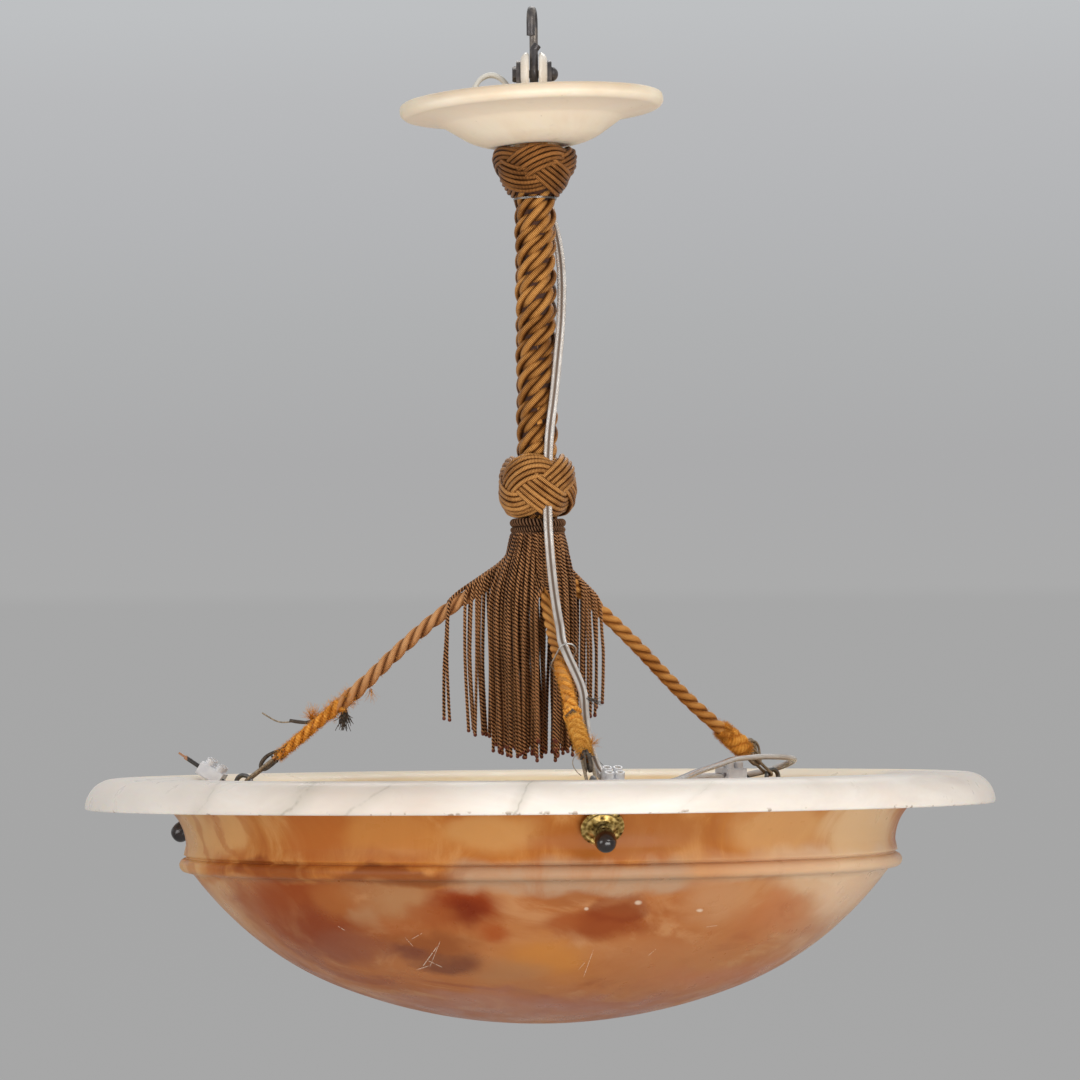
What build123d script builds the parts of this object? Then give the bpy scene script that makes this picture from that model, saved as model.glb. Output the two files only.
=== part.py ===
from build123d import *
import math
import os

# Alabaster bowl pendant.  Millimetres, +Z up, the viewer stands at -Y.
# The origin is the seat of the iron hook, where a ceiling ring or hook carries the lamp.
# Every height is measured from there, so most of them are negative.

# ---- clearances -------------------------------------------------------------------------
turn_play = 0.3          # between pieces that turn or slide on each other
hole_play = 0.15         # a bolt or screw in its hole, on the radius
seat_play = 0.05         # pieces of one assembly that lie against each other
lay_play = 0.3           # a cord or strand beside what it lies on

# ---- iron hook, bolt, shackle and ceramic discs -----------------------------------------
hook_bar = 4.2
hook_seat_radius = 4.6
hook_tip_drop = 11.4
hook_crown_turn = 6.0    # degrees, the crown is bent a little out of the shank's plane
bolt_drop = 30.0
bolt_diameter = 4.0
bolt_head_radius = 3.6
bolt_head_height = 3.3
nut_flats = 7.0
nut_height = 2.0
shank_jog_start = 12.0
shank_jog_end = 21.0
shank_bend = 10.0
eye_wrap = 20.0          # degrees the eye runs past its front before the tail leaves it
tail_bend_drop = 18.0
tail_end_drop = 15.4
tail_side_step = 1.8
tail_bend = 2.4
disc_radius = 10.85
disc_thickness = 4.3
disc_land_radius = 6.9
ear_radius = 6.7
strap_thickness = 2.1
strap_drop = 45.0        # the strap's inside bottom
strap_corner = 3.0
screw_diameter = 5.0
screw_head_radius = 3.6
screw_head_height = 3.0

# ---- cords, rope sheath, knots and tassel ------------------------------------------------
cord_diameter = 7.0
cord_pitch_radius = 4.25  # the three cords lie round the axis, just clear of each other
ferrule_radius = 8.6
ferrule_plate = 6.0
ferrule_drop = 60.0       # the cup's lower edge
sheath_diameter = 21.0
sheath_top = -67.6
sheath_bottom = -254.4
upper_knot_top = -67.1
upper_knot_bottom = -91.4
upper_knot_radius = 19.5
upper_knot_neck = 11.5
binding_wire = 0.8
lower_knot_top = -220.6
lower_knot_bottom = -251.4
lower_knot_radius = 18.3
lower_knot_neck = 12.4
lower_knot_shoulder = 1.7   # how far the outline draws in, half way up to the neck
lower_knot_half = 8.2
collar_top = -251.9
collar_bottom = -260.3
collar_radius = 13.9
collar_bead = 1.3
collar_lip = 2.5          # depth of the collar's top ring, which grips the rope
strand_width = 1.2
strand_root_radius = 12.35
strand_slice = 1.5        # height of the band that the strands grow from
skirt_bottom = -372.0

# ---- alabaster canopy ---------------------------------------------------------------------
canopy_radius = 65.8
canopy_band = 6.6
canopy_depth = 23.6
canopy_foot_radius = 18.5
canopy_hole_radius = 14.0
canopy_floor = 4.2
canopy_land = 8.8
canopy_top = -42.3
canopy_tilt = 2.6         # degrees, the -X side hangs lower
canopy_shift = -1.5

# ---- alabaster bowl -----------------------------------------------------------------------
rim_top = -379.1
rim_radius = 225.0
rim_land_radius = 211.0
rim_height = 15.2
rim_underside_rise = 4.3
neck_radius = 175.5       # the bowl's narrowest, which the lamps and their wiring follow
neck_flare = 16.5
neck_start_radius = neck_radius + neck_flare
neck_foot = -412.0
seat_step = 4.1
seat_radius = neck_radius + seat_step  # where a stud comes out of the neck
seat_height = -399.2
bead_centre = -421.8
bead_radius = 3.5
bead_root_step = 0.2
bead_root_radius = neck_radius - bead_root_step
body_top = -426.3
body_step = 3.5
body_top_radius = neck_radius - body_step
body_arcs = (  # radius, reach
    (270.0, body_top_radius - 72.0),
    (160.0, body_top_radius - 22.0),
    (190.0, body_top_radius),
)
wall = 12.0
lip_radius = 20.0
inner_neck_radius = neck_radius - wall

# ---- eye studs, rosettes, ball knobs --------------------------------------------------------
azimuths = {"front": 9.0, "right": 130.0, "left": 253.0}  # degrees from -Y towards +X
stud_slope = 36.0         # degrees below level, in line with the cord's pull
stud_diameter = 4.0
stud_ring_radius = 4.0
stud_ring_bar = 2.4
stud_ring_stand = 0.6      # the eye's edge stands this far off its nut
washer_radius = 7.0
washer_thickness = 1.0
washer_stand = 0.5        # a flat washer on the rounded lip
stud_nut_flats = 7.0
stud_nut_height = 2.6
rosette_radius = 10.1
rosette_sheet = 0.7
rosette_dome = 1.9
rosette_lobes = 12
knob_radius = 5.07
knob_length = 13.8
knob_foot_radius = 3.0
wire_diameter = 1.6
wire_leg = 16.0
cord_last_run = 12.0

# ---- lamps inside the bowl --------------------------------------------------------------------
bracket_width = 12.0
bracket_thickness = 1.5
bracket_slant = 16.0
bracket_leg = 20.0
bracket_bend = 2.5
lamp_height = -410.0
nipple_diameter = 10.0
nipple_length = 7.0
holder_nut_flats = 14.0
holder_nut_height = 3.0
holder_neck_radius = 9.0
holder_neck_length = 7.0
holder_radius = 13.5
holder_length = 31.0
holder_bore = 7.3
cap_radius = 6.9
cap_length = 25.0
cap_contact_radius = 3.0
bulb_radius = 22.5
bulb_neck_radius = 9.0
bulb_length = 50.0
entry_radius = 3.0
entry_height = 1.2

# ---- wiring -------------------------------------------------------------------------------------
flex_diameter = 4.6
lead_diameter = 2.2
supply_diameter = 2.4
supply_turn_radius = 10.2
supply_turn_pitch = 4.0
block_size = (13.0, 10.0, 7.0)
block_collar_radius = 2.2
block_collar_height = 3.0
block_pole_pitch = 5.0
block_screw_pitch = 6.4
block_screw_radius = 1.4
block_wire_radius = 1.2
tie_wire = 0.8
spare_wire_diameter = 2.2
spare_wire_bare = 4.0        # copper end beyond the cover
spare_wire_length = 9.0
flex_groove = 0.3
run_share = 0.45          # part of the shorter run that a corner's arc takes up


# ---- drawing helpers ----------------------------------------------------------------------------
def turned(*lines):
    """Solid of revolution about Z; the outline is drawn as (radius, height)."""
    edges = [edge for line in lines for edge in line.edges()]
    return revolve(Plane.XZ * make_face(edges), Axis.Z)


def standing(radius, height):
    """Cylinder on the XY plane."""
    return Cylinder(radius, height, align=(Align.CENTER, Align.CENTER, Align.MIN))


def ring(inner, outer, bottom, top):
    """Plain tube standing on the axis."""
    body = Cylinder(outer, top - bottom) - Cylinder(inner, top - bottom)
    return Pos(0, 0, (top + bottom) / 2) * body


def dome(radius, low, high):
    """Outline of a spherical cap from its edge to its top on the axis."""
    height = high - low
    sphere = (radius ** 2 + height ** 2) / (2 * height)
    half = math.asin(min(1.0, radius / sphere)) / 2
    middle = (sphere * math.sin(half), high - sphere * (1 - math.cos(half)))
    return ThreePointArc((radius, low), middle, (0, high))


def hex_nut(flats, height, bore):
    """Nut lying on the XY plane, its lower face at zero, with chamfered corners."""
    corner = flats / math.sqrt(3)
    blank = extrude(RegularPolygon(corner, 6), height)
    dome = Cone(corner * 1.12, corner * 0.88, height, align=(Align.CENTER, Align.CENTER, Align.MIN))
    return blank & dome - Cylinder(bore, 4 * height)


def side_frame(side):
    """Frame of one suspension point: X runs outward from the axis, Z stays upright."""
    return Rot(0, 0, azimuths[side] - 90)


def pipe(route, diameter):
    """Round bar swept along a route."""
    section = Plane(origin=route @ 0, z_dir=route % 0) * Circle(diameter / 2)
    return sweep(section, path=route)


def corner_radii(points):
    """Arc radius for every corner of a route, as large as its two runs allow."""
    radii = []
    for before, corner, after in zip(points, points[1:], points[2:]):
        run_in = corner - before
        run_out = after - corner
        half_turn = math.radians(run_in.get_angle(run_out) / 2)
        shorter = min(run_in.length, run_out.length)
        radii.append(run_share * shorter / math.tan(half_turn))
    return radii


def cord_route(points):
    """Straight runs joined by tangent arcs."""
    corners = [Vector(*point) for point in points]
    return FilletPolyline(*corners, radius=corner_radii(corners))


def cord_tube(name, points, diameter):
    """Tube of a cord along its route; prints its length and its tightest arc."""
    corners = [Vector(*point) for point in points]
    route = cord_route(points)
    tube = pipe(route, diameter)
    fill = tube.volume / (math.pi * diameter ** 2 / 4 * route.length)
    radii = ", ".join(f"{radius:.0f}" for radius in corner_radii(corners))
    print(f"{name}: length {route.length:.1f}, section fill {fill:.4f}, radii {radii}")
    return tube


# ---- places worked out from the sizes --------------------------------------------------------------
slope = math.radians(stud_slope)
outward = Vector(math.cos(slope), 0, -math.sin(slope))
stud_seat = Vector(seat_radius, 0, seat_height)
stud_frame = Plane(origin=stud_seat, x_dir=(math.sin(slope), 0, math.cos(slope)), z_dir=outward).location
lip_centre = (inner_neck_radius + lip_radius, rim_top - lip_radius)
neck_arc = ThreePointArc(
    (neck_start_radius, rim_top - rim_height + rim_underside_rise),
    (seat_radius, seat_height),
    (neck_radius, neck_foot),
)


def stone_along_stud():
    """Thickness of the stone along a stud, from its outside seat to the rounded lip inside."""
    across = seat_radius - lip_centre[0]
    along = seat_height - lip_centre[1]
    half = across * math.cos(slope) - along * math.sin(slope)
    return half + math.sqrt(half ** 2 - across ** 2 - along ** 2 + lip_radius ** 2)


def stud_point(reach):
    """Point (radius, height) on the stud's axis, a reach outward from its seat."""
    point = stud_seat + outward * reach
    return point.X, point.Z


washer_face = -(stone_along_stud() + washer_stand)
bracket_face = washer_face - washer_thickness
stud_nut_face = bracket_face - bracket_thickness
ring_reach = stud_nut_face - stud_nut_height - stud_ring_stand - stud_ring_radius - stud_ring_bar / 2
cord_end_reach = ring_reach - stud_ring_radius - wire_leg
rosette_seat = neck_arc.radius - math.sqrt(neck_arc.radius ** 2 - rosette_radius ** 2) + 2 * lay_play
knob_seat = rosette_seat + rosette_dome + turn_play
holder_face = stud_point(bracket_face)[0] - bracket_slant * math.sin(slope) - bracket_thickness


# ---- hook, shackle and discs ---------------------------------------------------------------------------
def ceiling_hook():
    """Round bar: short leg in front, crown, shank, eye round the bolt and a short tail."""
    bar = hook_bar / 2
    reach = hook_seat_radius + bar
    eye = bolt_diameter / 2 + turn_play + bar
    turn = math.radians(hook_crown_turn)
    front_x = -2 * reach * math.sin(turn)
    front_y = reach - 2 * reach * math.cos(turn)
    crown_low = -hook_seat_radius
    front = Line((front_x, front_y, -hook_tip_drop), (front_x, front_y, crown_low))
    crown = ThreePointArc(front @ 1, (front_x / 2, (front_y + reach) / 2, bar), (0, reach, crown_low))
    shank = FilletPolyline(
        (0, reach, crown_low),
        (0, reach, -shank_jog_start),
        (0, eye, -shank_jog_end),
        (0, eye, -bolt_drop),
        radius=shank_bend,
    )
    wrap = math.radians(eye_wrap)
    eye_end = Vector(0, -eye * math.cos(wrap), -bolt_drop + eye * math.sin(wrap))
    eye_arc = ThreePointArc(
        (0, eye, -bolt_drop),
        (0, eye * math.sin(-wrap / 2), -bolt_drop - eye * math.cos(wrap / 2)),
        eye_end,
    )
    rise = bolt_drop - eye * math.sin(wrap) - tail_bend_drop
    bend = eye_end + Vector(0, math.sin(wrap), math.cos(wrap)) * (rise / math.cos(wrap))
    tip = bend + Vector(tail_side_step, math.tan(wrap), tail_bend_drop - tail_end_drop)
    tail = FilletPolyline(eye_end, bend, tip, radius=tail_bend)
    route = Wire(front.edges() + crown.edges() + shank.edges() + eye_arc.edges() + tail.edges())
    return pipe(route, hook_bar)


def insulator_disc():
    """Glazed ceramic disc on the bolt: flat inside, domed outside; axis along Z."""
    bore = bolt_diameter / 2 + hole_play
    return turned(
        Polyline(
            (disc_land_radius, disc_thickness),
            (bore, disc_thickness),
            (bore, 0),
            (disc_radius - 1.7, 0),
        ),
        ThreePointArc((disc_radius - 1.7, 0), (disc_radius - 0.2, 0.8), (disc_radius, 1.7)),
        ThreePointArc(
            (disc_radius, 1.7),
            (disc_radius - 1.1, disc_thickness - 1.2),
            (disc_land_radius, disc_thickness),
        ),
    )


disc_inner_face = hook_bar / 2 + turn_play
ear_inner_face = disc_inner_face + disc_thickness
ear_outer_face = ear_inner_face + strap_thickness
bolt_frame = Pos(0, 0, -bolt_drop) * Rot(0, 90, 0)


def shackle():
    """U-shaped strap with round ears, bored for the bolt and for the screw below."""
    height = strap_drop - bolt_drop
    outer = Pos(0, 0, -bolt_drop - (height + strap_thickness) / 2)
    outer *= Box(2 * ear_outer_face, 2 * ear_radius, height + strap_thickness)
    outer = fillet(outer.edges().filter_by(Axis.Y).group_by(Axis.Z)[0], strap_corner + strap_thickness)
    outer += bolt_frame * Cylinder(ear_radius, 2 * ear_outer_face)
    inner = Pos(0, 0, -bolt_drop - (height - ear_radius) / 2)
    inner *= Box(2 * ear_inner_face, 3 * ear_radius, height + ear_radius)
    inner = fillet(inner.edges().filter_by(Axis.Y).group_by(Axis.Z)[0], strap_corner)
    inner += Pos(0, 0, -bolt_drop + ear_radius) * Box(2 * ear_inner_face, 3 * ear_radius, 2 * ear_radius)
    bolt_hole = bolt_frame * Cylinder(bolt_diameter / 2 + hole_play, 4 * ear_outer_face)
    screw_hole = Pos(0, 0, -strap_drop) * Cylinder(screw_diameter / 2 + hole_play, 4 * strap_thickness)
    return outer - inner - bolt_hole - screw_hole


def shackle_bolt():
    """Domed bolt through ears, discs and eye; its head is at +X."""
    end = -(ear_outer_face + nut_height)
    shaft = turned(
        Polyline(
            (0, end),
            (bolt_diameter / 2, end),
            (bolt_diameter / 2, ear_outer_face),
            (bolt_head_radius, ear_outer_face),
            (bolt_head_radius, ear_outer_face + 0.8),
        ),
        dome(bolt_head_radius, ear_outer_face + 0.8, ear_outer_face + bolt_head_height),
        Line((0, ear_outer_face + bolt_head_height), (0, end)),
    )
    return bolt_frame * shaft


def shackle_nut():
    """Low nut on the bolt's end at -X."""
    nut = hex_nut(nut_flats, nut_height, bolt_diameter / 2 + seat_play)
    return Pos(-ear_outer_face, 0, -bolt_drop) * Rot(0, -90, 0) * nut


ferrule_top = -strap_drop - strap_thickness
cords_top = ferrule_top - ferrule_plate


def ferrule_screw():
    """Cheese-head screw through the strap into the ferrule."""
    head = Cylinder(screw_head_radius, screw_head_height, align=(Align.CENTER, Align.CENTER, Align.MIN))
    shank_length = strap_thickness + ferrule_plate
    shank = Cylinder(screw_diameter / 2, shank_length, align=(Align.CENTER, Align.CENTER, Align.MAX))
    slot = Pos(0, 0, screw_head_height) * Box(3 * screw_head_radius, 1.0, 1.6)
    return Pos(0, 0, -strap_drop) * (head + shank - slot)


def cord_ferrule():
    """Cup that grips the upper ends of the three cords."""
    bore = cord_pitch_radius + cord_diameter / 2 + hole_play
    screw_bore = screw_diameter / 2 + seat_play
    return turned(
        Polyline(
            (screw_bore, ferrule_top),
            (ferrule_radius - 1.2, ferrule_top),
            (ferrule_radius, ferrule_top - 1.2),
            (ferrule_radius, -ferrule_drop),
            (bore, -ferrule_drop),
            (bore, cords_top),
            (screw_bore, cords_top),
            (screw_bore, ferrule_top),
        )
    )


# ---- rope sheath, knots, collar and tassel ---------------------------------------------------------
rope_radius = sheath_diameter / 2
knot_bore = rope_radius + seat_play
collar_bore = collar_radius - 2.5

# Points of the lamp flex from the upper knot to the front terminal block, chosen by eye.
flex_points = [
    (6.95, 12.0, -82.0),
    (6.95, 12.0, -97.0),
    (10.9, 7.9, -110.0),
    (13.2, 1.8, -129.0),
    (12.7, -4.1, -152.0),
    (10.7, -8.1, -172.0),
    (8.6, -10.4, -192.0),
    (6.0, -12.2, -210.0),
    (5.0, -13.4, -226.0),
    (4.7, -16.6, -250.0),
    (5.6, -19.6, -266.0),
    (6.8, -24.8, -281.0),
    (8.3, -33.5, -294.0),
    (9.9, -45.0, -304.5),
    (11.8, -60.0, -313.5),
    (15.6, -69.5, -319.5),
    (18.9, -77.5, -328.0),
    (21.2, -86.5, -337.5),
    (22.4, -96.5, -349.5),
    (24.7, -108.5, -359.0),
    (27.4, -121.5, -368.0),
]


def flex_channel(first, last):
    """Groove that two neighbouring route points of the flex run through."""
    start = Vector(*flex_points[first])
    run = Vector(*flex_points[last]) - start
    reach = run.length + 12 * (last - first)
    return Plane(origin=start, z_dir=run).location * standing(flex_diameter / 2 + flex_groove, reach)


def rope_sheath():
    """Laid rope round the three cords, as one tube."""
    bore = cord_pitch_radius + cord_diameter / 2 + hole_play
    return ring(bore, rope_radius, sheath_bottom, sheath_top)


def upper_knot():
    """Turban knot under the canopy, with a pocket behind for the flex."""
    shoulder = upper_knot_top - 3.2
    waist = upper_knot_top - 12.0
    body = turned(
        Polyline(
            (upper_knot_neck, upper_knot_bottom),
            (knot_bore, upper_knot_bottom),
            (knot_bore, upper_knot_top),
            (upper_knot_radius - 2.4, upper_knot_top),
        ),
        ThreePointArc(
            (upper_knot_radius - 2.4, upper_knot_top),
            (upper_knot_radius - 0.5, upper_knot_top - 1.2),
            (upper_knot_radius, shoulder),
        ),
        ThreePointArc((upper_knot_radius, shoulder), (upper_knot_radius - 0.2, -75.5), (18.2, waist)),
        Line((18.2, waist), (upper_knot_neck, upper_knot_bottom)),
    )
    return body - flex_channel(0, 1)


def sheath_binding():
    """Thin wire whipping below the upper knot."""
    centre = rope_radius + seat_play + binding_wire / 2
    return Pos(0, 0, upper_knot_bottom - binding_wire) * Torus(centre, binding_wire / 2)


def lower_knot():
    """Ball-shaped knot at the foot of the rope; the flex passes under its bands."""
    middle = (lower_knot_top + lower_knot_bottom) / 2
    body = turned(
        Polyline(
            (lower_knot_neck, lower_knot_bottom),
            (knot_bore, lower_knot_bottom),
            (knot_bore, lower_knot_top),
            (lower_knot_neck, lower_knot_top),
        ),
        Spline(
            (lower_knot_neck, lower_knot_top),
            (lower_knot_radius - lower_knot_shoulder, middle + lower_knot_half),
            (lower_knot_radius, middle),
            (lower_knot_radius - lower_knot_shoulder, middle - lower_knot_half),
            (lower_knot_neck, lower_knot_bottom),
        ),
    )
    return body - flex_channel(8, 9) - flex_channel(7, 8)


def tassel_collar():
    """Corded band round the rope's foot, beaded at both edges, that carries the strands."""
    lip = collar_top - collar_lip
    bead_centre_radius = collar_radius - collar_bead
    band = ring(collar_bore, collar_radius - 0.8, collar_bottom, collar_top)
    band += ring(knot_bore, collar_radius - 0.8, lip, collar_top)
    for height in (collar_top - collar_bead, collar_bottom + collar_bead):
        band += Pos(0, 0, height) * Torus(bead_centre_radius, collar_bead)
    return band


cord_routes = {
    "left": [(8, -268), (15.5, -277), (32, -286.5), (54, -300.5), (76, -318.5), (96, -337), (114, -350)],
    "right": [(8, -268.5), (15, -278.5), (32, -291), (62, -312.5), (97, -341.5)],
    "front": [(7.6, -269), (13, -281), (24, -296), (41, -310.5), (62, -322.5), (88, -338), (103, -352)],
}


# Radii at which the strands that lie on a cord leave it again.
drape_start = 16.5
drape_radii = {"left": (24, 36, 48), "right": (20, 28, 36), "front": (18, 22, 26)}


def cord_points(side):
    """Corners of one suspension cord as (radius, 0, height), from the ferrule to the stud."""
    hidden = [(cord_pitch_radius, cords_top), (cord_pitch_radius, -257.0)]
    end = [stud_point(cord_end_reach - cord_last_run), stud_point(cord_end_reach)]
    return [(radius, 0, height) for radius, height in hidden + cord_routes[side] + end]


def cord_height(side, radius):
    """Height of a cord's centre line at a radius, read between its corners."""
    corners = cord_points(side)[1:]
    for low, high in zip(corners, corners[1:]):
        if low[0] <= radius <= high[0]:
            share = (radius - low[0]) / (high[0] - low[0])
            return low[2] + share * (high[2] - low[2])
    return corners[-1][2]


def strand(points):
    """One square strand as a ruled loft through level sections."""
    sections = []
    for x, y, z in points:
        square = Plane((x, y, z)) * Rectangle(strand_width, strand_width)
        sections.append(square.wire())
    return Solid.make_loft(sections, ruled=True)


def strand_height(side, radius, lane):
    """Height of a strand's centre line that lies on a cord, a lane off its middle."""
    rest = cord_diameter / 2 + lay_play + 0.75 * strand_width
    fall = cord_height(side, radius - 1) - cord_height(side, radius + 1)
    steep = math.sqrt(1 + (fall / 2) ** 2)
    return cord_height(side, radius) + math.sqrt(rest ** 2 - lane ** 2) * steep + 0.9


def draped_strands(side):
    """Strands that lie over one cord and drop off on both sides of it."""
    beside = cord_diameter / 2 + lay_play + 1.5 * strand_width
    strands = []
    for lane, leave in zip((3.5, 2.15, 0.8), drape_radii[side]):
        root = math.sqrt(strand_root_radius ** 2 - lane ** 2)
        low = skirt_bottom + 0.35 * leave + 2 * lane
        for hand in (-1, 1):
            path = [
                (root, hand * lane, collar_bottom - 0.8),
                (drape_start, hand * lane, strand_height(side, drape_start, lane)),
                (leave, hand * (lane + 0.2), strand_height(side, leave, lane)),
                (leave + 1, hand * 4.5, strand_height(side, leave + 1, 3.5)),
                (leave + 2, hand * beside, cord_height(side, leave + 2) - 1.5),
                (leave + 2, hand * beside, low),
            ]
            strands.append(side_frame(side) * strand(path))
    return strands


def hanging_strands():
    """Strands that hang straight between the cords."""
    sides = ["front", "right", "left"]
    strands = []
    for side, following in zip(sides, sides[1:] + sides[:1]):
        gap = (azimuths[following] - azimuths[side]) % 360
        count = 11
        for index in range(count):
            azimuth = azimuths[side] + 26 + (gap - 52) * index / (count - 1)
            spread = 16.4 + 0.8 * math.sin(2.4 * index)
            low = skirt_bottom + 2.0 * (index % 3) - 2.0
            path = [
                (strand_root_radius, 0, collar_bottom - 0.8),
                (strand_root_radius + 1.1, 0, collar_bottom - 6),
                (spread, 0, collar_bottom - 26),
                (spread, 0, low),
            ]
            strands.append(Rot(0, 0, azimuth - 90) * strand(path))
    return strands


def tassel_skirt():
    """All strands, grown from a slice of the collar's band."""
    backing = ring(collar_bore, collar_radius - 0.6, collar_bottom - strand_slice, collar_bottom)
    strands = hanging_strands()
    for side in azimuths:
        strands += draped_strands(side)
    return backing.fuse(*strands)


# ---- bowl and canopy ----------------------------------------------------------------------------------
def body_profile(offset):
    """Tangent arcs of the bowl's body from its bottom up, moved inward by an offset."""
    sines = []
    centre_radius = 0.0
    last_radius = None
    last_sine = 0.0
    centres = []
    for radius, reach in body_arcs:
        if last_radius is not None:
            centre_radius += (last_radius - radius) * last_sine
        last_sine = (reach - centre_radius) / radius
        last_radius = radius
        centres.append(centre_radius)
        sines.append(last_sine)
    heights = []
    centre_height = body_top + body_arcs[-1][0] * math.sqrt(1 - sines[-1] ** 2)
    for index in reversed(range(len(body_arcs))):
        heights.insert(0, centre_height)
        if index:
            step = body_arcs[index - 1][0] - body_arcs[index][0]
            centre_height += step * math.sqrt(1 - sines[index - 1] ** 2)
    arcs = []
    start_angle = 0.0
    for (radius, _), centre_r, centre_z, sine in zip(body_arcs, centres, heights, sines):
        end_angle = math.asin(sine)
        angles = (start_angle, (start_angle + end_angle) / 2, end_angle)
        reach = radius - offset
        points = [(centre_r + reach * math.sin(a), centre_z - reach * math.cos(a)) for a in angles]
        arcs.append(ThreePointArc(*points))
        start_angle = end_angle
    return arcs


def bowl():
    """Turned alabaster bowl: flat land, quarter-round rim, neck, bead and a body of three arcs."""
    outer = body_profile(0)
    inner = body_profile(wall)
    body_end = outer[-1] @ 1
    neck_end = inner[-1] @ 1
    rim_low = rim_top - rim_height
    quarter = math.sin(math.radians(45))
    lip_r, lip_z = lip_centre
    round_r = rim_radius - rim_land_radius
    mouldings = Polyline(
        neck_arc @ 1,
        (neck_radius + 1.1, neck_foot - 4.6),
        (bead_root_radius, neck_foot - 5.4),
        (bead_root_radius, bead_centre + bead_radius),
    )
    bead = ThreePointArc(
        mouldings @ 1,
        (bead_root_radius + bead_radius, bead_centre),
        (bead_root_radius, bead_centre - bead_radius),
    )
    body = turned(
        *outer,
        Line(body_end, bead @ 1),
        bead,
        mouldings,
        neck_arc,
        Line(neck_arc @ 0, (rim_radius, rim_low)),
        ThreePointArc(
            (rim_radius, rim_low),
            (rim_radius - round_r * (1 - quarter), rim_low + rim_height * quarter),
            (rim_land_radius, rim_top),
        ),
        Line((rim_land_radius, rim_top), (lip_r, rim_top)),
        ThreePointArc(
            (lip_r, rim_top),
            (lip_r - lip_radius * quarter, lip_z + lip_radius * quarter),
            (inner_neck_radius, lip_z),
        ),
        Line((inner_neck_radius, lip_z), neck_end),
        *inner,
        Line(inner[0] @ 0, outer[0] @ 0),
    )
    for side in azimuths:
        hole = stud_frame * Cylinder(stud_diameter / 2 + turn_play, 6 * wall)
        body -= side_frame(side) * hole
    return body


def canopy():
    """Shallow alabaster dish with a rolled rim and a bore for the rope."""
    band = -canopy_band
    foot = -canopy_depth
    floor = foot + canopy_floor
    land = canopy_radius - canopy_land
    return Pos(canopy_shift, 0, canopy_top) * Rot(0, -canopy_tilt, 0) * turned(
        Line((land, 0), (canopy_radius - 2.6, 0)),
        ThreePointArc((canopy_radius - 2.6, 0), (canopy_radius - 0.6, -0.9), (canopy_radius, -2.4)),
        Line((canopy_radius, -2.4), (canopy_radius, -4.6)),
        ThreePointArc((canopy_radius, -4.6), (canopy_radius - 0.9, band + 0.3), (canopy_radius - 4, band)),
        Line((canopy_radius - 4, band), (54, band - 0.8)),
        ThreePointArc((54, band - 0.8), (49.5, band - 1.9), (45, band - 4.6)),
        Line((45, band - 4.6), (36, foot + 6.0)),
        ThreePointArc((36, foot + 6.0), (28, foot + 1.9), (canopy_foot_radius, foot)),
        Line((canopy_foot_radius, foot), (canopy_hole_radius, foot)),
        Line((canopy_hole_radius, foot), (canopy_hole_radius, floor)),
        Line((canopy_hole_radius, floor), (20, floor + 0.3)),
        ThreePointArc((20, floor + 0.3), (28, floor + 2.2), (36, floor + 6.6)),
        ThreePointArc((36, floor + 6.6), (48, -4.6), (land, 0)),
    )


# ---- studs, rosettes and knobs --------------------------------------------------------------------------
def eye_stud():
    """Eye and shank in one, along Z with the stone's outside face at zero."""
    eye = Pos(0, 0, ring_reach) * Rot(90, 0, 0) * Torus(stud_ring_radius, stud_ring_bar / 2)
    foot = ring_reach + stud_ring_radius
    tip = knob_seat + 0.7 * knob_length
    shank = Pos(0, 0, foot) * Cylinder(
        stud_diameter / 2, tip - foot, align=(Align.CENTER, Align.CENTER, Align.MIN)
    )
    return eye + shank


def stud_washer():
    """Flat washer between the stone's lip and the bracket."""
    return ring(stud_diameter / 2 + hole_play, washer_radius, bracket_face, washer_face)


def stud_nut():
    """Nut that holds bracket and washer against the stone from inside."""
    nut = hex_nut(stud_nut_flats, stud_nut_height, stud_diameter / 2 + seat_play)
    return Pos(0, 0, stud_nut_face - stud_nut_height) * nut


def rosette():
    """Stamped sheet rosette: lobed rim, hollow, raised ring and a flat boss."""
    r, t, base = rosette_radius, rosette_sheet, rosette_seat
    bore = stud_diameter / 2 + hole_play
    cup = turned(
        Polyline(
            (r, base),
            (r, base + t),
            (0.86 * r, base + 1.5 * t),
            (0.74 * r, base + t),
            (0.62 * r, base + t + 0.5),
            (0.50 * r, base + rosette_dome),
            (bore, base + rosette_dome),
            (bore, base + rosette_dome - t),
            (0.46 * r, base + rosette_dome - t),
            (0.60 * r, base + 0.3),
            (0.74 * r, base),
            (r, base),
        )
    )
    lobe = extrude(Pos(0.86 * r, 0) * Circle(0.26 * r), 3 * rosette_dome)
    mask = extrude(Circle(0.86 * r), 3 * rosette_dome)
    for step in range(rosette_lobes):
        mask += Rot(0, 0, 360 * step / rosette_lobes) * lobe
    return cup & (Pos(0, 0, base - 0.5) * mask)


def ball_knob():
    """Egg-shaped turned knob with a blind bore for the stud."""
    low = knob_seat
    widest = low + 0.56 * knob_length
    top = low + knob_length
    body = turned(
        Line((0, low), (knob_foot_radius, low)),
        ThreePointArc(
            (knob_foot_radius, low),
            (knob_radius - 0.65, low + 0.27 * knob_length),
            (knob_radius, widest),
        ),
        Spline((knob_radius, widest), (0, top), tangents=((0, 1), (-1, 0))),
        Line((0, top), (0, low)),
    )
    bore_depth = 0.7 * knob_length + turn_play
    bore = Cylinder(
        stud_diameter / 2 + turn_play, bore_depth, align=(Align.CENTER, Align.CENTER, Align.MIN)
    )
    return body - Pos(0, 0, low) * bore


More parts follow.
